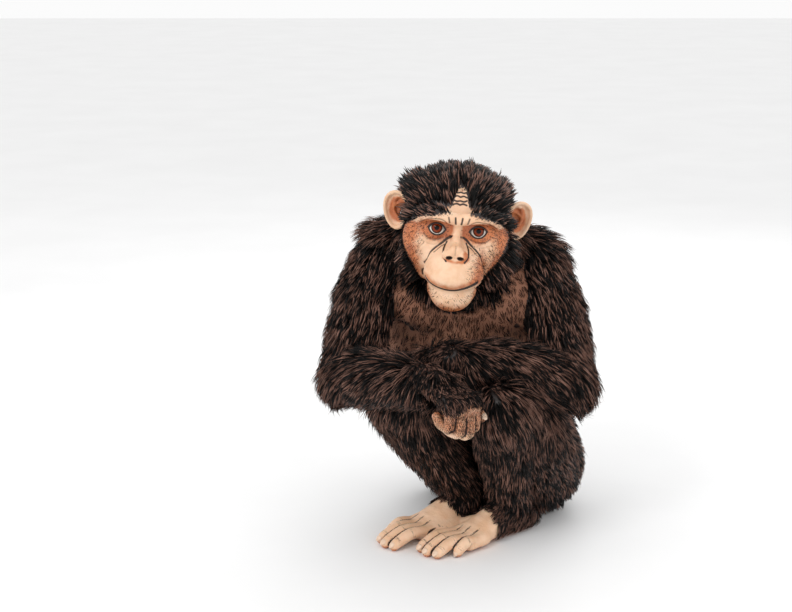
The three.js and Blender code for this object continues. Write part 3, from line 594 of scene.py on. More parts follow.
# The whole body: named parts with the boxes in which they count
class Body:
    def __init__(self):
        self.trunk = trunk_loft()
        self.nipples = [on_front(self.bare_trunk, [NIPPLE["at"][side]] * 2, 2)[0] for side in SIDES]
        self.hands = {side: LimbEnd("hand", side) for side in SIDES}
        self.feet = {side: LimbEnd("foot", side) for side in SIDES}
        self.ears = {side: Ear(side) for side in SIDES}
        self.paths = {kind + "_" + side: limb_path(kind, side) for kind in LIMBS for side in SIDES}
        self.parts = {"trunk": self.trunk_part, "head": self.head_part}
        for side in SIDES:
            self.parts["ear_" + side] = self.ear_part(side)
            self.add_limbs(side, "arm", "forearm")
            self.parts["hand_" + side] = self.hands[side]
            self.add_limbs(side, "thigh", "shank")
            self.parts["foot_" + side] = self.feet[side]
        self.names = list(self.parts)
        self.boxes = {name: self.box_of(name) for name in self.names}

    def bare_trunk(self, points):
        distance = self.trunk(points)
        for side in SIDES:
            distance = melt(distance, rod(points, *YOKE[side]), MELT["yoke"])
            distance = melt(distance, ellipsoid(points, BUTTOCK["at"][side], BUTTOCK["half"]), MELT["trunk"])
            distance = melt(distance, ellipsoid(points, BREAST["at"][side], BREAST["half"]), MELT["breast"])
        distance = melt(distance, ellipsoid(points, *FLANK), MELT["trunk"])
        distance = melt(distance, rod(points, *NECK), MELT["trunk"])
        return np.maximum(distance, TRUNK_LOW - points[:, 2])

    def trunk_part(self, points):
        distance = self.bare_trunk(points)
        for place in self.nipples:
            distance = melt(distance, ellipsoid(points, place, NIPPLE["half"]), MELT["nipple"])
        return distance

    def head_part(self, points):
        return face(to_head(points))

    def ear_part(self, side):
        return lambda points: self.ears[side](to_head(points))

    def add_limbs(self, side, *kinds):
        for kind in kinds:
            name = kind + "_" + side
            self.parts[name] = self.limb_part(self.paths[name], LIMBS[kind][3])

    def limb_part(self, path, profile):
        return lambda points: limb(points, path, profile)

    def box_of(self, name):
        kind, _, side = name.partition("_")
        if kind == "trunk":
            return vec(TRUNK_BOX[0]), vec(TRUNK_BOX[1])
        if kind == "head":
            return vec(HEAD_PLACE) - REACH["head"], vec(HEAD_PLACE) + REACH["head"]
        if kind == "ear":
            middle = from_head((vec(EAR["root"]) + EAR_MIDDLE) * (OUTWARD[side], 1, 1))
            return middle - REACH["ear"], middle + REACH["ear"]
        if kind in ("hand", "foot"):
            return self.parts[name].box()
        path = self.paths[name]
        return path.min(axis=0) - REACH["limb"], path.max(axis=0) + REACH["limb"]

    def part_distances(self, points):
        out = {}
        for name, part in self.parts.items():
            low, high = self.boxes[name]
            inside = np.all((points > low - PART_MARGIN) & (points < high + PART_MARGIN), axis=1)
            distance = np.full(len(points), FAR)
            if inside.any():
                distance[inside] = part(points[inside])
            out[name] = distance
        return out

    # Parts melt into the one they grow from, and only touch the rest
    def __call__(self, points):
        d = self.part_distances(points)
        whole = melt(d["trunk"], d["head"], MELT["neck"])
        for side in SIDES:
            whole = melt(whole, d["ear_" + side], MELT["ear"])
            arm = melt(d["arm_" + side], d["forearm_" + side], MELT["elbow"])
            arm = melt(arm, d["hand_" + side], MELT["wrist"])
            leg = melt(d["thigh_" + side], d["shank_" + side], MELT["knee"])
            leg = melt(leg, d["foot_" + side], MELT["ankle"])
            for whole_limb, joint, reach in ((arm, SHOULDER, "shoulder"), (leg, HIP, "hip")):
                near = 1 - ease(*JOIN[reach], lengths(points - vec(joint[side])))
                whole = melt(whole, whole_limb, TOUCH + JOIN["soft"] * near)
        return np.maximum(whole, FLOOR_GAP - points[:, 2])


body = Body()


# The skin's surface: a fine grid only near the surface, turned into faces, then settled on it
GRID = 2.4
COARSE = 4
LOW_CORNER = vec(-262, -352, -6)
HIGH_CORNER = vec(262, 180, 662)
NEAR_CELLS = 1.05
BATCH = 400000
MUZZLE_BOX = ((-92, -200, -128), (92, -28, 74))


def surface_grid():
    size = np.ceil((HIGH_CORNER - LOW_CORNER) / (GRID * COARSE)).astype(int)
    step = GRID * COARSE
    axes = [LOW_CORNER[k] + step * (np.arange(size[k]) + 0.5 - 0.5 / COARSE) for k in range(3)]
    centres = np.stack(np.meshgrid(*axes, indexing="ij"), axis=-1).reshape(-1, 3)
    coarse = body(centres).reshape(size)
    fine = np.repeat(np.repeat(np.repeat(coarse, COARSE, 0), COARSE, 1), COARSE, 2).astype(np.float32)
    near = np.argwhere(np.abs(coarse) < step * NEAR_CELLS)
    offsets = np.stack(np.meshgrid(*[np.arange(COARSE)] * 3, indexing="ij"), axis=-1).reshape(-1, 3)
    cells = (near[:, None, :] * COARSE + offsets).reshape(-1, 3)
    for start in range(0, len(cells), BATCH):
        part = cells[start:start + BATCH]
        fine[part[:, 0], part[:, 1], part[:, 2]] = body(LOW_CORNER + part * GRID)
    return fine


def surface_faces():
    grid = openvdb.FloatGrid(background=float(GRID * 3))
    grid.copyFromArray(np.clip(surface_grid(), -GRID * 3, GRID * 3))
    grid.transform = openvdb.createLinearTransform(voxelSize=1.0)
    points, quads = grid.convertToQuads(isovalue=0.0)
    return LOW_CORNER + np.asarray(points, float) * GRID, np.asarray(quads)


# Points walk along the steepest way onto the surface, in steps of no more than most, until they are close to it
FLATTEST = 0.2
CLOSE = 0.08


def settle(points, rounds, most=2.0, reach=0.3):
    points = points.copy()
    moving = np.arange(len(points))
    for _ in range(rounds):
        here = points[moving]
        value = body(here)
        way = np.stack([body(here + axis * reach) - value for axis in np.eye(3)], axis=1) / reach
        steep = np.maximum(np.sum(way * way, axis=1), FLATTEST)
        step = value[:, None] * way / steep[:, None]
        size = np.linalg.norm(step, axis=1, keepdims=True)
        points[moving] -= step * np.minimum(1, most / np.maximum(size, 1e-9))
        moving = moving[np.abs(value) > CLOSE]
    return points


def add_object(name, data):
    obj = bpy.data.objects.new(name, data)
    bpy.context.scene.collection.objects.link(obj)
    return obj


def shade_smooth(mesh):
    mesh.polygons.foreach_set("use_smooth", [True] * len(mesh.polygons))


def mesh_object(name, points, faces):
    mesh = bpy.data.meshes.new(name)
    mesh.from_pydata([tuple(p) for p in to_world(points)], [], [tuple(int(i) for i in f) for f in faces])
    mesh.validate()
    return add_object(name, mesh)


# Where the skin is bare: 1 on the face, ears, palms, fingers, toes and soles, 0 under the coat.
# The hairline is a flat arch over the brow, up at each place across, with a bare peak in the middle.
HAIRLINE = ((0, 20, 34, 48, 66, 79, 92), (52, 52, 49, 44, 35, 19, 2))
PEAK = {"middle": 1.5, "half": 11.5, "rise": 25}
# The bare cheek's edge: across at each height
CHEEK_EDGE = ((-120, -101, -92, -76, -58, -45, -30, -12, 4, 20, 60), (18, 36, 46, 53, 61, 70, 78, 86, 91, 90, 80))


def face_bareness(points):
    x, y, z = to_head(points).T
    side = np.abs(x)
    rough = 2.2 * np.sin(x * 0.9) * np.sin(z * 0.8 + 1) + 1.5 * np.sin(x * 2.3 + z * 1.9)
    brow_top = np.interp(side, *HAIRLINE) + PEAK["rise"] * np.exp(-((x - PEAK["middle"]) / PEAK["half"]) ** 4)
    above = ease(6, -6, z - brow_top + rough)
    cheek_edge = np.interp(z, *CHEEK_EDGE) + np.where(x < 0, 4, -6)
    beside = ease(6, -6, side - cheek_edge + rough)
    front = ease(-10, -26, y)
    under = ease(-122, -112, z + 0.25 * (y + 90))
    return above * beside * front * under


def hand_bareness(points, side):
    along, _, high = body.hands[side].laid_out(points)
    palm = ease(2, -8, high) * ease(-14, 2, along)
    fingers = ease(74, 92, along)
    curled = ease(-16, -34, high) * ease(20, 40, along)
    return np.maximum(np.maximum(palm, fingers), curled)


def foot_bareness(points, side):
    along, across, high = body.feet[side].laid_out(points)
    top = ease(84, 98, along - 0.15 * high + 0.25 * across)
    sole = ease(12, 4, high) * ease(-8, 6, along)
    return np.maximum(top, sole)


def bareness(points, distances):
    names = list(distances)
    nearest = np.argmin(np.stack([distances[name] for name in names]), axis=0)
    bare = np.zeros(len(points))
    for i, name in enumerate(names):
        own = nearest == i
        if not own.any():
            continue
        kind, _, side = name.partition("_")
        if kind == "head":
            bare[own] = face_bareness(points[own])
        elif kind == "ear":
            bare[own] = 1
        elif kind == "hand":
            bare[own] = hand_bareness(points[own], side)
        elif kind == "foot":
            bare[own] = foot_bareness(points[own], side)
    return bare, nearest


def refine(mesh, chosen):
    work = bmesh.new()
    work.from_mesh(mesh)
    work.verts.ensure_lookup_table()
    marks = set(np.flatnonzero(chosen).tolist())
    edges = [e for e in work.edges if e.verts[0].index in marks and e.verts[1].index in marks]
    bmesh.ops.subdivide_edges(work, edges=edges, cuts=1, use_grid_fill=True)
    work.to_mesh(mesh)
    work.free()


def mesh_points(mesh):
    flat = np.empty(len(mesh.vertices) * 3, np.float32)
    mesh.vertices.foreach_get("co", flat)
    return flat.reshape(-1, 3).astype(float) / MM - FRAME_SHIFT


def vertex_normals(mesh):
    flat = np.empty(len(mesh.vertices) * 3, np.float32)
    mesh.vertex_normals.foreach_get("vector", flat)
    return flat.reshape(-1, 3).astype(float)


def set_points(mesh, points):
    mesh.vertices.foreach_set("co", to_world(points).astype(np.float32).ravel())
    mesh.update()


def attribute(mesh, name, values):
    layer = mesh.attributes.new(name, "FLOAT", "POINT")
    layer.data.foreach_set("value", np.asarray(values, np.float32).ravel())


def build_skin():
    points, faces = surface_faces()
    skin = mesh_object("skin", points, faces)
    mesh = skin.data
    head = to_head(mesh_points(mesh))
    refine(mesh, np.all((head > vec(MUZZLE_BOX[0])) & (head < vec(MUZZLE_BOX[1])), axis=1))
    points = settle(mesh_points(mesh), 2)
    set_points(mesh, points)
    shade_smooth(mesh)
    return skin, points


skin, skin_points = build_skin()
skin_parts = body.part_distances(skin_points)
bare, nearest = bareness(skin_points, skin_parts)


# How bare the chest is: sparse short hair from the throat to the belly, between the arms
CHEST_MIDDLE = 8


def chest_share(points, normals):
    x, y, z = points.T
    side = np.abs(x - CHEST_MIDDLE)
    right = x < CHEST_MIDDLE
    front = np.where(right, ease(-0.6, -0.1, -normals[:, 1]), ease(-0.2, 0.3, -normals[:, 1]))
    beside = np.where(right, ease(160, 134, side), ease(136, 110, side))
    rough = 9 * np.sin(x * 0.11) + 6 * np.sin(x * 0.27 + 2)
    return front * ease(50, 15, y) * beside * ease(512, 440, z + rough) * ease(240, 300, z)


def is_part(name):
    return nearest == body.names.index(name)


chest = chest_share(skin_points, vertex_normals(skin.data)) * is_part("trunk")
chest *= ease(14, 36, skin_parts["head"])


# Marks on the face, each from its own shape: orange painted shade, dark painted shade in the folds, and pale
# ridges of painted highlight
def gauss(distance, width):
    return np.exp(-(distance / width) ** 2)


def halo(distance, width):
    return gauss(np.maximum(distance, 0), width)


# Lines across the face, as places across and up: the ridge's lower edge, above which the brow's painted highlight
# begins, and the temple's hairline
RIDGE_LINE = ((0, 16, 34, 52, 67), (33, 37, 40, 33, 18))
TEMPLE_LINE = ((0, 34, 48, 66, 79), (52, 49, 44, 35, 19))
NOSE_SHADE = ((0, -113, -10), (20, 12, 13))
# How deep the orange painted shade gets at most in each place of the face, and how dark the painted shade of the
# thin lines is
ORANGE_SHADE = {"round_eye": 0.95, "root": 0.8, "cheek": 0.9, "muzzle": 0.7, "by_nose": 0.75, "lip": 0.55, "jaw": 1.0,
          "patch": 0.18, "temple": 0.7}
ORANGE_SHADE_GAIN = 1.25
THIN_SHADE = 0.75


# Shares of the places that get the orange painted shade, each by its distance or direction on the face: the eye
# sockets, the nose's root, the cheeks' outer edges, under the nose, above the mouth's line, under the chin, the
# forehead's peak and the temples, and the sides of the muzzle and nose turned away from the light
def face_places(p, q, from_eye):
    x, y, z = p.T
    side = q[:, 0]
    lit = ease(12, -30, x)
    nose = ellipsoid(q, *NOSE_SHADE)
    over_lip = z - np.interp(x, LIP_PATH[:, 0], LIP_PATH[:, 2])
    return {
        "round_eye": halo(from_eye - 14, 8),
        "root": gauss(side - 14, 7) * gauss(z - 20, 16) * ease(-60, -72, y),
        "cheek": ease(52, 84, side + 0.25 * np.abs(z + 10)) * ease(64, 30, z),
        "muzzle": gauss(side - 42, 13) * gauss(z + 38, 26) * (1 - 0.8 * lit),
        "by_nose": halo(nose, 3.5) * ease(-16, -22, z - 0.25 * side) + gauss(nose, 4) * ease(8, 16, x),
        "lip": gauss(over_lip - 6, 6) * ease(52, 40, side) * ease(-70, -84, y),
        "jaw": ease(-84, -116, z) * 0.8 + gauss(side - 42, 8) * ease(-74, -84, z) * 0.6,
        "patch": ease(14, 4, side) * ease(50, 58, z),
        "temple": ease(8, -6, np.interp(side, *TEMPLE_LINE) - z) * ease(14, 24, side),
    }


# The orange painted shade: each place's share is taken off the pale skin in turn, and the brow ridge's painted
# highlight keeps it pale
def face_painted_shade(places, ridge_highlight):
    pale = np.ones(len(ridge_highlight))
    for name, share in places.items():
        pale = pale * (1 - np.clip(ORANGE_SHADE[name] * share, 0, 1))
    return np.clip(ORANGE_SHADE_GAIN * (1 - pale), 0, 1) * (1 - 0.8 * ridge_highlight)


# Painted shade in the face's creases and hollows: the mouth's line, the nose's groove, the nostrils, the lid
# edges, the folds and the thin lines
def face_shade_lines(p, q):
    lips = halo(tube(p, LIP_PATH, 1.8), 1.5)
    groove = 0.8 * halo(tube(p, NOSE_GROOVE_PATH, 0.5), 1.1)
    nostril = halo(ellipsoid(halved(p, NOSE["middle"]), *NOSE["nostril"]), 1.0)
    lines = np.maximum.reduce([lips, groove, nostril, lid_edge(q)])
    for path, radius, _, ink in FOLD_LINES:
        lines = np.maximum(lines, ink * halo(tube(q, path, 0.0) - 0.8 * radius, 1.0))
    for path in THIN_PATHS:
        lines = np.maximum(lines, THIN_SHADE * halo(tube(q, path, 0.0) - 0.7, 1.0))
    return np.clip(lines, 0, 1)


# Dark dots: stubble, which also stands as painted shade where it gathers on the muzzle's side away from the light,
# at the face's edges, at the chin and round the eyes
def face_stubble_and_shade(p, q, places, from_eye):
    x, _, z = p.T
    side = q[:, 0]
    by_mouth = ease(8, 34, x) * gauss(z + 34, 24) + 0.5 * gauss(z + 84, 8) * (side < 40)
    at_edge = 0.9 * ease(46, 70, side) + places["jaw"] + 0.56 * places["temple"]
    return by_mouth + at_edge + 0.7 * gauss(from_eye - 16, 5)


def face_marks(points):
    p = to_head(points)
    q = halved(p)
    from_eye = lengths((q - vec(EYE["place"]) - (1, -12, 8)) / (1.3, 1.0, 1.15))
    # Painted highlight on the brow ridge: it keeps the orange shade and the dots off the ridge's front
    ridge_highlight = halo(tube(q, BROW_PATH, 0) - 8, 4) * ease(0, 8, q[:, 2] - np.interp(q[:, 0], *RIDGE_LINE))
    places = face_places(p, q, from_eye)
    stubble_and_shade = face_stubble_and_shade(p, q, places, from_eye) * (1 - 0.7 * ridge_highlight)
    return face_painted_shade(places, ridge_highlight), face_shade_lines(p, q), np.clip(stubble_and_shade, 0, 1)


def lid_edge(q):
    across, up, away = eye_frame(q)
    rim = halo(np.abs(lens_cut(across, up)) - 1.0 - 1.2 * (up > 0), 1.1)
    rim *= ease(7, 3, np.abs(across) - APERTURE["half"])
    return rim * (away[:, 1] < 0) * (lengths(away) < EYE["radius"] + 7)


on_head = is_part("head")
painted_shade, lines, stubble_and_shade = np.zeros((3, len(skin_points)))
painted_shade[on_head], lines[on_head], stubble_and_shade[on_head] = face_marks(skin_points[on_head])
for side in SIDES:
    mine = is_part("ear_" + side)
    u, v, w = body.ears[side].laid_out(to_head(skin_points[mine]))
    share = np.hypot((u - EAR["width"] * 0.4) / (EAR["width"] / 2), v / (EAR["height"] / 2))
    # Orange painted shade in the ear's bowl, and darker painted shade round its canal
    painted_shade[mine] = ease(0.86, 0.6, share) * (w > -16)
    lines[mine] = 0.7 * halo(np.hypot(u - CANAL[0][0], v - CANAL[0][2]) - 5, 3)


# Painted shade: dark seams where two digits meet, and creases across their joints
def digit_marks(points, digits):
    near = np.stack([tube(points, smooth_line(joints, 11), radius) for joints, radius in digits])
    second = np.sort(near, axis=0)[1]
    seam_shade = ease(3.4, 1.0, second)
    creases = np.zeros(len(points))
    for joints, radius in digits:
        for i in range(2, len(joints) - 1):
            aim = unit(joints[i + 1] - joints[i - 1])
            for shift in (-2.2, 0.0, 2.2):
                away = points - joints[i] - aim * shift
                close = ease(radius * 1.7, radius * 1.2, lengths(away))
                creases = np.maximum(creases, 0.4 * gauss(away @ aim, 0.6) * close)
    return seam_shade, creases


# Painted shade along lines that run from the gaps between the toes up the instep
def instep_lines(points, foot):
    total = np.zeros(len(points))
    for (a, _), (b, _) in zip(foot.digits, foot.digits[1:]):
        away = points - (a[1] + b[1]) / 2
        along = away @ foot.aim
        line = halo(np.abs(away @ foot.inner) - 0.5, 0.8)
        total = np.maximum(total, line * ease(-26, -14, along) * ease(24, 8, along))
    return 0.75 * total * ease(9, 15, points[:, 2])


for side in SIDES:
    foot = body.feet[side]
    mine = is_part("foot_" + side)
    along, _, high = foot.laid_out(skin_points[mine])
    seam_shade, creases = digit_marks(skin_points[mine], foot.digits + [(foot.first, 13)])
    seam_shade = seam_shade * ease(136, 150, along)
    creases = creases * ease(10, 16, high)
    # Orange painted shade low on the foot by the floor, on the foot's rear part and between the toes
    painted_shade[mine] = np.clip(0.8 * ease(9, 3, high) + 0.4 * ease(96, 84, along) + 0.5 * seam_shade, 0, 1)
    lines[mine] = np.maximum.reduce([seam_shade, creases, instep_lines(skin_points[mine], foot)])
    hand = body.hands[side]
    mine = is_part("hand_" + side)
    along, _, high = hand.laid_out(skin_points[mine])
    seam_shade, creases = digit_marks(skin_points[mine], hand.digits + [(hand.first, 11)])
    seam_shade = seam_shade * ease(60, 74, along)
    # Orange painted shade and dots on the fist's underside, and painted shade between the fingers
    painted_shade[mine] = np.clip(0.6 * ease(-52, -30, high) + 0.4 * seam_shade, 0, 1)
    lines[mine] = np.maximum(seam_shade, creases * 0.7)
    stubble_and_shade[mine] = ease(-52, -30, high)
# The nipples' own darker skin joins the painted shade lines in the crease attribute
by_nipple = np.min([lengths(skin_points - place) for place in body.nipples], axis=0)
lines = np.maximum(lines, ease(8, 4.5, by_nipple) * chest)
clear = ease(9, 15, by_nipple)
attribute(skin.data, "bare", bare)
attribute(skin.data, "chest", chest)
# Orange painted shade of the face, ears, hands and feet
attribute(skin.data, "painted_shade", painted_shade)
# Painted shade in creases and hollows, with the nipples' own dark
attribute(skin.data, "crease", lines)
# Stubble dots, which also stand for painted shade on the face
attribute(skin.data, "stubble_and_shade", stubble_and_shade * bare)


# The coat: every tuft is a thin closed blade with its root under the skin, lying along the body
COAT = {
    # length, depth of the tips over the skin, width, share of the usual density
    "trunk": (42, 20, 2.5, 1.0),
    "head": (30, 14, 2.1, 1.35),
    "ear": (7, 3, 0.9, 0.05),
    "arm": (42, 20, 2.5, 1.0),
    "forearm": (38, 17, 2.4, 1.05),
    "hand": (15, 6, 1.5, 1.7),
    "thigh": (40, 18, 2.5, 1.0),
    "shank": (34, 16, 2.4, 1.05),
    "foot": (16, 6, 1.6, 1.4),
}
TUFTS = 114000
PIECE_TUFTS = 15500
# Blades: shares of the way at which they are widest, root depth, bulge, and half-width and thickness there
STATIONS = (0.34, 0.7)
BLADE = {"under": 2.2, "behind": 1.0, "bulge": 0.22, "half": (0.5, 0.36), "thick": (0.34, 0.24)}
# How the tufts vary, how they thin out on the chest and at bare skin, and how they gather
TURN = {"waves": 0.28, "wave_size": 60, "scatter": 0.16}
SPREAD = {"length": (0.72, 1.25), "height": (0.3, 1.08), "width": (0.7, 1.3)}
CHEST_CUT = {"length": 0.74, "height": 0.84, "width": 0.72}
EDGE_CUT = 0.6
STUBBLE = {"from": 0.55, "length": (3.5, 7), "rise": 0.45, "width": (0.45, 0.75)}
STRAYS = {"share": 0.03, "longer": 1.3}
STEEPEST = 0.8
CLUMP = {"size": 13, "pull": 0.5, "reach": 16, "same_way": 0.6}
LOWEST = {"tip": 3, "blade": 0.6, "root": 7}
WHORL = vec(0, -150, 26)
rng = np.random.default_rng(SEED)


def triangles(mesh):
    mesh.calc_loop_triangles()
    flat = np.empty(len(mesh.loop_triangles) * 3, np.int32)
    mesh.loop_triangles.foreach_get("vertices", flat)
    return flat.reshape(-1, 3)


def waves(points, size, seed):
    draw = np.random.default_rng(seed)
    total = np.zeros(len(points))
    for _ in range(5):
        way = unit(draw.normal(size=3)) / (size * draw.uniform(0.7, 1.4))
        total += np.sin(points @ way * 2 * np.pi + draw.uniform(0, 2 * np.pi))
    return total / 5


# Ways of the head's hair: outward, back and up on cheek, nape and beard
HEAD_WAYS = ((0.5, 0.75, -0.75), (0.25, 0.1, -1.0), (0.25, 0.3, -1.0))
# The rest: from one joint towards another, or a share of the hand's and the foot's aim, and what leans it
LIMB_WAYS = {
    "arm": (SHOULDER, ELBOW, (0, 0, -0.25)),
    "forearm": (WRIST, ELBOW, (0, -0.5, -0.8)),
    "thigh": (KNEE, HIP, (0, 0, -0.45)),
    "shank": (KNEE, ANKLE, (0, 0, -0.2)),
}
END_WAYS = {"hand": (0.7, (0, -0.45, -0.9)), "foot": (0.8, (0, 0, -0.5))}


def head_lie(points):
    q = to_head(points)
    x, y, z = q.T
    away = unit(q - WHORL)
    away[:, 0] *= 1.15
    cheek, nape, beard = [np.stack([wide * np.sign(x), np.full(len(q), back), np.full(len(q), up)], axis=1)
                          for wide, back, up in HEAD_WAYS]
    low = ease(34, 4, z)[:, None]
    chin = (ease(-70, -104, z) * ease(-20, -60, y))[:, None]
    behind = ease(10, 80, y)[:, None]
    way = away * (1 - low) + cheek * low
    way = way * (1 - chin) + beard * chin
    way = way * (1 - behind) + nape * behind
    return way @ HEAD_ROTATION.T


def part_lie(name, points):
    kind, _, side = name.partition("_")
    if kind in ("head", "ear"):
        return head_lie(points)
    if kind == "trunk":
        return vec(0, 0, -1) + (points - vec(6, 20, 0)) * (0.004, 0.003, 0)
    if kind in END_WAYS:
        share, lean = END_WAYS[kind]
        way = body.parts[name].aim * share + lean
    else:
        start, end, lean = LIMB_WAYS[kind]
        way = unit(vec(end[side]) - vec(start[side])) + lean
    if kind == "thigh":
        over_knee = ease(150, 60, lengths(points - vec(KNEE[side])))[:, None]
        return way * (1 - over_knee) + vec(0.55 * OUTWARD[side], -0.7, -1.0) * over_knee
    return np.broadcast_to(way, points.shape)


def lie(points, distances):
    total = np.zeros(points.shape)
    for name, distance in distances.items():
        near = distance < 40
        if near.any():
            share = np.exp(-np.maximum(distance[near], 0) / 9)
            total[near] += part_lie(name, points[near]) * share[:, None]
    return unit(total + 1e-6)


def across_of(way, normals):
    flat = way - np.sum(way * normals, axis=1, keepdims=True) * normals
    return unit(flat + 1e-9)


def sample_roots(count, density):
    tri = triangles(skin.data)
    corners = skin_points[tri]
    area = 0.5 * lengths(np.cross(corners[:, 1] - corners[:, 0], corners[:, 2] - corners[:, 0]))
    total = np.cumsum(area * density[tri].mean(axis=1))
    marks = (np.arange(count) + rng.random(count)) / count * total[-1]
    which = tri[np.minimum(np.searchsorted(total, marks), len(tri) - 1)]
    shares = rng.dirichlet((1, 1, 1), count)
    return which, shares


def blend_at(which, shares, values):
    picked = values[which]
    if picked.ndim == 3:
        return np.einsum("nk,nkd->nd", shares, picked)
    return np.einsum("nk,nk->n", shares, picked)


def per_part(column):
    table = np.array([COAT[name.partition("_")[0]][column] for name in body.names], float)
    return table[nearest]


def head_traits(points):
    x, y, z = to_head(points).T
    side = np.abs(x)
    behind = ease(-84, -40, y - 0.25 * (z - 50))
    high_side = ease(48, 84, side) * ease(20, 52, z) * ease(70, 10, y)
    cheek = ease(50, 76, side) * ease(40, 10, z) * ease(50, 20, y)
    jaw = ease(-56, -84, z) * ease(-20, -50, y)
    by_ear = ease(60, 34, np.abs(z - EAR["root"][2])) * ease(60, 74, side) * ease(44, 34, np.abs(y + 8))
    over_brow = ease(30, 44, z) * ease(-74, -88, y)
    flare = high_side * np.where(x > 0, 0.7, 1.0)
    longer = 1 + 0.9 * flare + 0.5 * cheek + 0.1 * jaw + 0.6 * over_brow
    length = (0.5 + 0.5 * np.maximum(behind, cheek)) * longer
    lift = (0.45 + 0.55 * behind) * (1 + 2.2 * flare + 0.9 * cheek + 0.3 * jaw)
    held = by_ear * np.where(x > 0, 0.6, 0.3)
    return length * (1 - 0.6 * held), lift * (1 - held)


def sow():
    normals = vertex_normals(skin.data)
    is_head = on_head.astype(float)
    coated = (1 - bare) ** 1.5 * clear
    density = per_part(3) * coated * (1 - 0.5 * chest)
    density *= 1 + 0.7 * is_head * ease(-50, -80, to_head(skin_points)[:, 2])
    density += bare * stubble_and_shade * (0.3 * is_head + 1.5 * (1 - is_head))
    density[skin_points[:, 2] < LOWEST["root"]] = 0
    which, shares = sample_roots(TUFTS, density)
    roots = blend_at(which, shares, skin_points)
    normal = unit(blend_at(which, shares, normals))
    part = nearest[which[:, 0]]
    spread = {"bare": bare, "chest": chest, "length": per_part(0), "depth": per_part(1), "width": per_part(2)}
    traits = {key: blend_at(which, shares, values) for key, values in spread.items()}
    return roots, normal, part, traits


def clumped(roots, normal, tips):
    count = max(len(roots) // CLUMP["size"], 1)
    leaders = rng.choice(len(roots), count, replace=False)
    tree = mathutils.kdtree.KDTree(count)
    for i, leader in enumerate(leaders):
        tree.insert(roots[leader], i)
    tree.balance()
    nearest_leader = np.array([leaders[tree.find(root)[1]] for root in roots])
    close = lengths(roots[nearest_leader] - roots) < CLUMP["reach"]
    same = np.sum(normal[nearest_leader] * normal, axis=1) > CLUMP["same_way"]
    share = np.where(close & same, CLUMP["pull"], 0.0)[:, None]
    return tips + (tips[nearest_leader] - tips) * share


def grow(roots, normal, part, traits):
    count = len(roots)
    distances = body.part_distances(roots)
    way = across_of(lie(roots, distances), normal)
    side_way = np.cross(normal, way)
    turn = TURN["waves"] * waves(roots, TURN["wave_size"], 5) + TURN["scatter"] * rng.normal(size=count)
    way = unit(way * np.cos(turn)[:, None] + side_way * np.sin(turn)[:, None])
    side_way = np.cross(normal, way)
    longer, higher = np.ones(count), np.ones(count)
    head = part == body.names.index("head")
    longer[head], higher[head] = head_traits(roots[head])
    bare_here, chest_here = traits["bare"], traits["chest"]
    edge = 1 - EDGE_CUT * ease(0.05, 0.6, bare_here)
    kept = {key: 1 - cut * chest_here for key, cut in CHEST_CUT.items()}
    length = traits["length"] * longer * edge * kept["length"] * rng.uniform(*SPREAD["length"], count)
    height = traits["depth"] * higher * edge * kept["height"] * rng.uniform(*SPREAD["height"], count)
    width = traits["width"] * kept["width"] * rng.uniform(*SPREAD["width"], count)
    tiny = bare_here > STUBBLE["from"]
    length[tiny] = rng.uniform(*STUBBLE["length"], tiny.sum())
    height[tiny] = length[tiny] * STUBBLE["rise"]
    width[tiny] = rng.uniform(*STUBBLE["width"], tiny.sum())
    stray = (rng.random(count) < STRAYS["share"]) & ~tiny
    length[stray] *= STRAYS["longer"]
    height[stray] *= STRAYS["longer"]
    height = np.minimum(height, length * STEEPEST)
    along = np.sqrt(length ** 2 - height ** 2)
    tips = roots + way * along[:, None] + normal * height[:, None]
    tips = np.where(tiny[:, None], tips, clumped(roots, normal, tips))
    tips[:, 2] = np.maximum(tips[:, 2], LOWEST["tip"])
    return way, side_way, tips, height, width


# Tufts that would reach over another part's bare skin are drawn back
KEPT_CLEAR = {"hand": 7, "foot": 5, "head": 0, "ear": 2}
DRAWN_BACK = 0.55


def drawn_back(roots, tips, part):
    reach = body.part_distances(tips)
    share = np.ones(len(roots))
    for name, distance in reach.items():
        kind = name.partition("_")[0]
        other = part != body.names.index(name)
        share[other & (distance < KEPT_CLEAR.get(kind, -4))] *= DRAWN_BACK
    return share


def blades(roots, normal, way, side_way, tips, height, width):
    count = len(roots)
    points = np.empty((count, 8, 3))
    points[:, 0] = roots - normal * BLADE["under"] - way * BLADE["behind"]
    chord = tips - roots
    bulge = normal * (height * BLADE["bulge"])[:, None]
    for i, share in enumerate(STATIONS):
        centre = roots + chord * share + bulge * (4 * share * (1 - share))
        half = (width * BLADE["half"][i])[:, None]
        thick = (width * BLADE["thick"][i])[:, None]
        points[:, 1 + 3 * i] = centre - side_way * half
        points[:, 2 + 3 * i] = centre + normal * thick
        points[:, 3 + 3 * i] = centre + side_way * half
    points[:, 7] = tips
    return points


BLADE_FACES = np.array([
    (0, 2, 1), (0, 3, 2), (0, 1, 3),
    (1, 2, 5), (1, 5, 4), (2, 3, 6), (2, 6, 5), (3, 1, 4), (3, 4, 6),
    (4, 5, 7), (5, 6, 7), (6, 4, 7),
])
BLADE_ALONG = np.array([0, STATIONS[0]] + [STATIONS[0]] * 2 + [STATIONS[1]] * 3 + [1.0])
BLADE_ACROSS = np.array([0, -1, 0, 1, -1, 0, 1, 0.0])
PATCH = 0.003


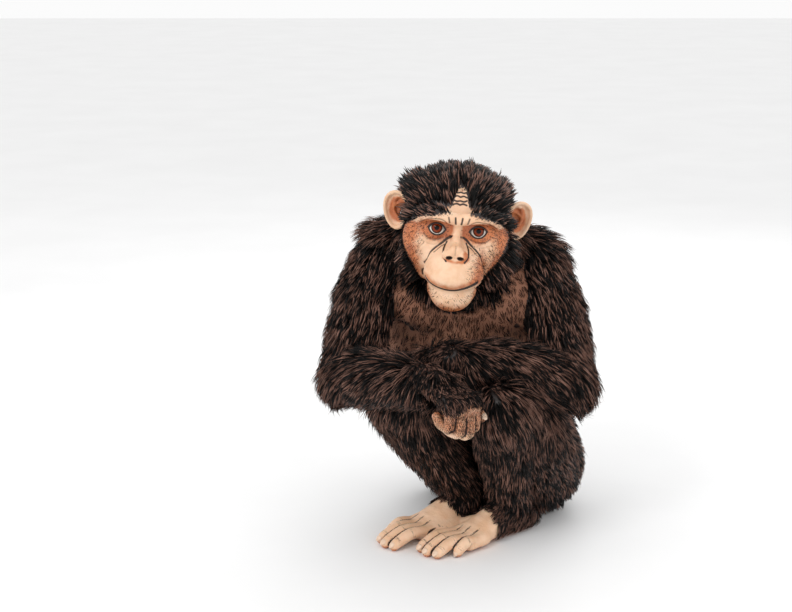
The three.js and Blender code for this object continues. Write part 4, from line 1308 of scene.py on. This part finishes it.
# Where a root lies on its part, laid flat: round the part's own axis, and along it
def unwrap(name, points):
    kind, _, side = name.partition("_")
    if kind in ("head", "ear"):
        q = to_head(points) - vec(0, -20, -5)
        around = np.arctan2(q[:, 0], q[:, 1])
        along = np.arctan2(q[:, 2], np.hypot(q[:, 0], q[:, 1])) / np.pi + 0.5
    elif kind in ("hand", "foot"):
        limb_end = body.parts[name]
        along, across, high = limb_end.laid_out(points)
        around = np.arctan2(across * OUTWARD[side], high - (20 if kind == "foot" else 0))
        along = (along + 40) / 290
    elif kind == "trunk":
        away = points - vec(30, 40, 0)
        around = np.arctan2(away[:, 0], away[:, 1])
        along = points[:, 2] / 560
    else:
        path = body.paths[name]
        aim = unit(path[-1] - path[0])
        first = unit(np.cross(aim, (0.3, 1, 0.2)))
        second = np.cross(aim, first)
        away = points - (path[0] + path[-1]) / 2
        around = np.arctan2(away @ first, away @ second)
        along = (away @ aim) / (np.linalg.norm(path[-1] - path[0]) + 120) + 0.5
    flat = np.stack([around / (2 * np.pi) + 0.5, along], axis=1)
    return 0.004 + 0.988 * np.clip(flat, 0, 1)


def tuft_mesh(name, points, tone, base):
    count = len(points)
    mesh = bpy.data.meshes.new(name)
    mesh.vertices.add(count * 8)
    mesh.vertices.foreach_set("co", to_world(points.reshape(-1, 3)).astype(np.float32).ravel())
    faces = (BLADE_FACES[None] + 8 * np.arange(count)[:, None, None]).reshape(-1, 3).astype(np.int32)
    mesh.loops.add(faces.size)
    mesh.loops.foreach_set("vertex_index", faces.ravel())
    mesh.polygons.add(len(faces))
    mesh.polygons.foreach_set("loop_start", np.arange(0, faces.size, 3, dtype=np.int32))
    shade_smooth(mesh)
    mesh.update(calc_edges=True)
    mesh.validate()
    across = base[:, None, 0] + PATCH * 0.45 * BLADE_ACROSS[None]
    along = base[:, None, 1] + PATCH * BLADE_ALONG[None]
    flat = np.stack([across, along], axis=2).reshape(-1, 2)[faces.ravel()]
    mesh.uv_layers.new(name="OFBake")
    mesh.uv_layers["OFBake"].data.foreach_set("uv", flat.astype(np.float32).ravel())
    attribute(mesh, "tone", np.repeat(tone, 8))
    attribute(mesh, "along", np.broadcast_to(BLADE_ALONG[None], (count, 8)))
    return add_object(name, mesh)


def build_coat():
    roots, normal, part, traits = sow()
    way, side_way, tips, height, width = grow(roots, normal, part, traits)
    share = drawn_back(roots, tips, part)[:, None]
    tips = roots + (tips - roots) * share
    points = blades(roots, normal, way, side_way, tips, height * share[:, 0], width * np.sqrt(share[:, 0]))
    tone = np.clip(0.42 + 0.2 * waves(roots, 34, 9) + 0.3 * rng.normal(size=len(roots)), 0, 1)
    tone *= 1 - 0.8 * traits["chest"]
    tone[traits["bare"] > 0.4] = 0
    points[..., 2] = np.maximum(points[..., 2], LOWEST["blade"])
    pieces = []
    for index, name in enumerate(body.names):
        mine = np.flatnonzero(part == index)
        if len(mine) == 0:
            continue
        mine = mine[np.argsort(roots[mine, 2], kind="stable")]
        for k, chunk in enumerate(np.array_split(mine, math.ceil(len(mine) / PIECE_TUFTS))):
            base = unwrap(name, roots[chunk])
            pieces.append(tuft_mesh("coat_%s_%d" % (name, k + 1), points[chunk], tone[chunk], base))
    return pieces


coat = build_coat()


# Eyes: a ball each, with the iris bulging out, looking where the head looks and a little up
IRIS = {"radius": 9.3, "bulge": 0.085}
GAZE = (0.02, -1, 0.41)


def eyeball(side):
    out = OUTWARD[side]
    mesh = bpy.data.meshes.new("eye_" + side + "_ball")
    work = bmesh.new()
    bmesh.ops.create_uvsphere(work, u_segments=64, v_segments=40, radius=1)
    iris = IRIS["radius"] / EYE["radius"]
    for vert in work.verts:
        away = math.hypot(vert.co.x, vert.co.y)
        if vert.co.z > 0 and away < iris:
            vert.co.z += IRIS["bulge"] * (1 - (away / iris) ** 2) ** 0.8
    work.to_mesh(mesh)
    work.free()
    centre = from_head(vec(EYE["place"]) * (out, 1, 1))
    look = unit(vec(GAZE) * (out, 1, 1) @ HEAD_ROTATION.T)
    turn = Vector(look).to_track_quat("Z", "Y").to_matrix()
    points = np.array([turn @ v.co for v in mesh.vertices]) * EYE["radius"] + centre
    ring = np.array([math.hypot(v.co.x, v.co.y) for v in mesh.vertices]) * EYE["radius"]
    ring = np.where(np.array([v.co.z for v in mesh.vertices]) > 0, ring, 16)
    turns = np.array([math.atan2(v.co.y, v.co.x) for v in mesh.vertices])
    attribute(mesh, "ring", ring)
    spoke = np.stack([np.cos(turns) * 3, np.sin(turns) * 3, ring * 0.05], axis=1)
    tone = mesh.attributes.new("spoke", "FLOAT_VECTOR", "POINT")
    tone.data.foreach_set("vector", spoke.astype(np.float32).ravel())
    set_points(mesh, points)
    shade_smooth(mesh)
    return add_object(mesh.name, mesh)


eyes = {side: eyeball(side) for side in SIDES}


# Nails: a curved plate on each digit, from its root to its rounded end
NAIL = {"length": 10.5, "thick": 0.9, "ahead": 0.55, "wide": 0.72, "digit": 0.84, "big_toe": 11, "thumb": 9}
NAIL_GRID = (9, 6)


def nail_points(joints, radius, up):
    aim = unit(joints[-1] - joints[-2])
    up = unit(up - up @ aim * aim)
    side_way = np.cross(aim, up)
    wide = radius * NAIL["wide"]
    around, along = NAIL_GRID
    rows = []
    for lift in (0.0, -NAIL["thick"]):
        for j in range(along):
            share = j / (along - 1)
            forward = radius * NAIL["ahead"] - NAIL["length"] * (0.5 - share)
            drop = 0.10 * forward + 0.035 * max(forward, 0) ** 2
            width = wide * (1 - 0.45 * max(share - 0.62, 0) / 0.38) * (0.82 + 0.18 * min(share * 4, 1))
            for i in range(around):
                t = 2 * i / (around - 1) - 1
                x = t * width
                high = math.sqrt(max(radius ** 2 - x * x, 0)) * 0.98 + 0.5 + lift - drop
                rows.append(joints[-1] + aim * (forward - 0.9 * t * t * share * 2) + side_way * x + up * high)
    count = around * along
    faces = []
    for j in range(along - 1):
        for i in range(around - 1):
            a = j * around + i
            faces.append((a, a + 1, a + around + 1, a + around))
            faces.append((count + a, count + a + around, count + a + around + 1, count + a + 1))
    rim = list(range(around)) + [j * around + around - 1 for j in range(1, along)]
    rim += [count - 1 - i for i in range(1, around)] + [j * around for j in range(along - 2, 0, -1)]
    for a, b in zip(rim, rim[1:] + rim[:1]):
        faces.append((b, a, count + a, count + b))
    return rows, faces


def build_nails():
    points, faces = [], []
    plates = []
    for side in SIDES:
        foot, hand = body.feet[side], body.hands[side]
        for joints, radius in foot.digits:
            plates.append(nail_points(joints, radius * NAIL["digit"], foot.up))
        plates.append(nail_points(foot.first, NAIL["big_toe"], foot.up))
        for joints, radius in hand.digits:
            last, before = unit(joints[-1] - joints[-2]), unit(joints[-2] - joints[-3])
            up = before - last * (before @ last) + 1e-3
            plates.append(nail_points(joints - last * 4, radius * NAIL["digit"], up))
        plates.append(nail_points(hand.first, NAIL["thumb"], hand.up))
    for rows, plate_faces in plates:
        start = len(points)
        points += rows
        faces += [tuple(start + i for i in face) for face in plate_faces]
    nails = mesh_object("nails", np.array(points), faces)
    shade_smooth(nails.data)
    return nails


nails = build_nails()


# Materials
class Nodes:
    def __init__(self, name):
        self.material = bpy.data.materials.new(name)
        self.material.use_nodes = True
        self.tree = self.material.node_tree
        self.shader = self.tree.nodes["Principled BSDF"]

    def add(self, kind, inputs=(), **settings):
        node = self.tree.nodes.new(kind)
        for key, value in settings.items():
            setattr(node, key, value)
        for key, value in dict(inputs).items():
            self.feed(node.inputs[key], value)
        return node

    def feed(self, socket, value):
        if isinstance(value, bpy.types.NodeSocket):
            self.tree.links.new(value, socket)
        else:
            socket.default_value = value

    def attribute(self, name):
        return self.add("ShaderNodeAttribute", attribute_name=name).outputs["Fac"]

    def mix(self, share, a, b):
        node = self.add("ShaderNodeMix", data_type="RGBA")
        self.feed(node.inputs[0], share)
        self.feed(node.inputs[6], a)
        self.feed(node.inputs[7], b)
        return node.outputs[2]

    def math(self, kind, a, b=0.0, clamp=False):
        node = self.add("ShaderNodeMath", operation=kind, use_clamp=clamp)
        self.feed(node.inputs[0], a)
        self.feed(node.inputs[1], b)
        return node.outputs[0]

    def place(self, scale=(1, 1, 1)):
        coordinates = self.add("ShaderNodeTexCoord").outputs["Object"]
        return self.add("ShaderNodeMapping", {"Vector": coordinates, "Scale": scale}).outputs[0]

    def noise(self, scale, detail=3.0, rough=0.55, place=None):
        inputs = {"Scale": scale, "Detail": detail, "Roughness": rough, "Vector": place or self.place()}
        return self.add("ShaderNodeTexNoise", inputs).outputs["Fac"]

    def dots(self, scale):
        inputs = {"Scale": scale, "Vector": self.place()}
        return self.add("ShaderNodeTexVoronoi", inputs).outputs["Distance"]

    def span(self, value, low, high, start=0.0, end=1.0):
        node = self.add("ShaderNodeMapRange", interpolation_type="SMOOTHSTEP")
        for key, one in zip(("Value", "From Min", "From Max", "To Min", "To Max"), (value, low, high, start, end)):
            self.feed(node.inputs[key], one)
        return node.outputs[0]

    def clouds(self, scale, detail, start=0.0, end=1.0, low=0.3, high=0.7):
        return self.span(self.noise(scale, detail), low, high, start, end)

    def bump(self, height, strength, distance):
        node = self.add("ShaderNodeBump", {"Height": height, "Strength": strength, "Distance": distance})
        self.feed(self.shader.inputs["Normal"], node.outputs[0])

    def set(self, **values):
        for key, value in values.items():
            self.feed(self.shader.inputs[key.replace("_", " ")], value)
        return self.material


def colour(red, green, blue):
    parts = [c / 255 for c in (red, green, blue)]
    return tuple(c / 12.92 if c < 0.04045 else ((c + 0.055) / 1.055) ** 2.4 for c in parts) + (1.0,)


# Colours in pairs that a cloudy pattern mixes, the orange pair being the face's painted shade, and the dark ones
# of dots, of the painted shade in folds, and of the coat's depth, where its painted shade gathers at the tufts'
# roots
SHADES = {
    "pale": ((228, 184, 148), (238, 200, 168)),
    "orange_shade": ((164, 80, 36), (202, 114, 60)),
    "under_coat": ((28, 20, 18), (44, 31, 27)),
    "belly": ((144, 94, 72), (176, 126, 100)),
    "coat": ((108, 76, 64), (142, 106, 92)),
}
INKS = {"dots": (52, 24, 14), "folds": (28, 12, 8), "belly_folds": (44, 22, 16), "coat": (9, 7, 6)}


def shades(name):
    return [colour(*shade) for shade in SHADES[name]]


def skin_material():
    n = Nodes("skin")
    pale = n.mix(n.clouds(38, 4, low=0.35, high=0.65), *shades("pale"))
    orange_shade = n.mix(n.clouds(60, 3), *shades("orange_shade"))
    # Orange painted shade over the pale skin, made patchy by noise
    patchy_shade = n.math("ADD", n.attribute("painted_shade"), n.clouds(150, 2, -0.12, 0.12), clamp=True)
    face = n.mix(n.span(patchy_shade, 0.05, 0.95, 0.0, 0.92), pale, orange_shade)
    # Dark dots of stubble, partly painted shade
    dots = n.span(n.dots(430), 0.36, 0.26)
    fine = n.math("MULTIPLY", dots, n.span(n.attribute("stubble_and_shade"), 0.1, 0.9, 0.0, 0.9))
    face = n.mix(fine, face, colour(*INKS["dots"]))
    # Near-black painted shade in the creases and hollows of the face
    face = n.mix(n.span(n.attribute("crease"), 0.1, 0.6, 0.0, 0.97), face, colour(*INKS["folds"]))
    under = n.mix(n.noise(30, 3), *shades("under_coat"))
    belly = n.mix(n.noise(45, 4), *shades("belly"))
    # The nipples' own darker brown
    belly = n.mix(n.span(n.attribute("crease"), 0.1, 0.9), belly, colour(*INKS["belly_folds"]))
    under = n.mix(n.span(n.attribute("chest"), 0.15, 0.8), under, belly)
    whole = n.mix(n.span(n.attribute("bare"), 0.25, 0.7), under, face)
    rough = n.clouds(90, 3, 0.42, 0.58)
    rough = n.math("ADD", rough, n.span(n.attribute("chest"), 0.1, 0.5, 0.0, 0.36))
    grain = n.math("ADD", n.math("MULTIPLY", n.dots(330), 0.6), n.noise(240, 3))
    n.bump(grain, 0.28, 0.0012)
    n.feed(n.shader.inputs["Subsurface Weight"], 0.08)
    n.feed(n.shader.inputs["Subsurface Radius"], (0.012, 0.004, 0.002))
    n.feed(n.shader.inputs["Subsurface Scale"], 0.5)
    return n.set(Base_Color=whole, Roughness=rough)


def coat_material():
    n = Nodes("coat")
    share = n.math("ADD", n.attribute("tone"), n.clouds(26, 3, -0.18, 0.18), clamp=True)
    # Painted shade deep in the coat: each tuft darker at its root and browner at its tip
    share = n.math("ADD", share, n.span(n.attribute("along"), 0.0, 1.0, -0.16, 0.1), clamp=True)
    brown = n.mix(n.clouds(60, 2, low=0.35, high=0.65), *shades("coat"))
    whole = n.mix(n.span(share, 0.46, 0.74), colour(*INKS["coat"]), brown)
    streak = n.noise(900, 2, 0.6, n.place((1, 1, 0.35)))
    n.bump(streak, 0.25, 0.0006)
    return n.set(Base_Color=whole, Roughness=n.clouds(120, 2, 0.5, 0.66), Specular_IOR_Level=0.2)


def eye_material():
    n = Nodes("eye")
    ring = n.attribute("ring")
    spoke = n.noise(5.5, 3, 0.7, n.add("ShaderNodeAttribute", attribute_name="spoke").outputs["Vector"])
    iris = n.mix(n.span(spoke, 0.3, 0.7), colour(84, 28, 12), colour(150, 62, 26))
    iris = n.mix(n.span(ring, 6.2, 9.0), iris, colour(30, 10, 7))
    iris = n.mix(n.span(ring, 4.4, 3.7), iris, colour(1, 1, 1))
    white = n.mix(n.noise(140, 3), colour(248, 244, 236), colour(232, 220, 206))
    white = n.mix(n.span(ring, 13.5, 16.0), white, colour(150, 96, 74))
    whole = n.mix(n.span(ring, 8.9, 9.5), iris, white)
    return n.set(Base_Color=whole, Roughness=n.clouds(200, 2, 0.04, 0.07), Specular_IOR_Level=0.22)


def nail_material():
    n = Nodes("nail")
    tone = n.mix(n.noise(180, 3), colour(240, 214, 190), colour(212, 174, 146))
    n.bump(n.noise(420, 2), 0.15, 0.0004)
    return n.set(Base_Color=tone, Roughness=n.clouds(90, 2, 0.3, 0.42))


def floor_material():
    n = Nodes("floor")
    tone = n.mix(n.noise(3, 3), colour(238, 238, 238), colour(246, 246, 246))
    return n.set(Base_Color=tone, Roughness=0.9)


looks = {"skin": skin_material(), "coat": coat_material(), "eye": eye_material(), "nail": nail_material()}
looks["floor"] = floor_material()


# Camera, at the picture's viewing angle
LENS = 71.353
SENSOR = 36.0
CAMERA_PLACE = (-110.1, -2663.6, 1048.3)
CAMERA_PITCH = 14.0
LIGHTS = (
    # name, place, what it is aimed at, size, power
    ("key", (-1.5, -2.0, 2.3), (0, 0, 0.35), 1.0, 26),
    ("fill", (2.0, -1.6, 1.2), (0, 0, 0.3), 2.0, 5),
    ("back", (0.8, 1.9, 1.9), (0, 0, 0.4), 1.4, 14),
)
WORLD_STRENGTH = 0.97
FLOOR_HALF = 14


def set_camera():
    data = bpy.data.cameras.new("camera")
    data.lens = LENS
    data.sensor_width = SENSOR
    camera = add_object("camera", data)
    camera.location = to_world(CAMERA_PLACE)
    camera.rotation_euler = (math.radians(90 - CAMERA_PITCH), 0, 0)
    bpy.context.scene.camera = camera


def add_light(name, place, aim, size, power):
    data = bpy.data.lights.new(name, "AREA")
    data.size = size
    data.energy = power
    lamp = add_object(name, data)
    lamp.location = place
    lamp.rotation_euler = (Vector(aim) - Vector(place)).to_track_quat("-Z", "Y").to_euler()


def set_world():
    world = bpy.data.worlds.new("world")
    bpy.context.scene.world = world
    world.use_nodes = True
    background = world.node_tree.nodes["Background"]
    background.inputs["Color"].default_value = (1, 1, 1, 1)
    background.inputs["Strength"].default_value = WORLD_STRENGTH


def floor():
    mesh = bpy.data.meshes.new("floor")
    corners = [(x * FLOOR_HALF, y * FLOOR_HALF, 0) for x, y in ((-1, -1), (1, -1), (1, 1), (-1, 1))]
    mesh.from_pydata(corners, [], [(0, 1, 2, 3)])
    mesh.materials.append(looks["floor"])
    add_object("floor", mesh)


set_camera()
for row in LIGHTS:
    add_light(*row)
set_world()
floor()
bpy.context.scene.view_settings.view_transform = "Standard"
for side, ball in eyes.items():
    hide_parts("eye_" + side)
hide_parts(*[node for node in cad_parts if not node.startswith("eye_")])
dressed = [(skin, "skin"), (nails, "nail")] + [(piece, "coat") for piece in coat]
dressed += [(ball, "eye") for ball in eyes.values()]
for piece, slot in dressed:
    piece.data.materials.append(looks[slot])
    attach(piece, "root")
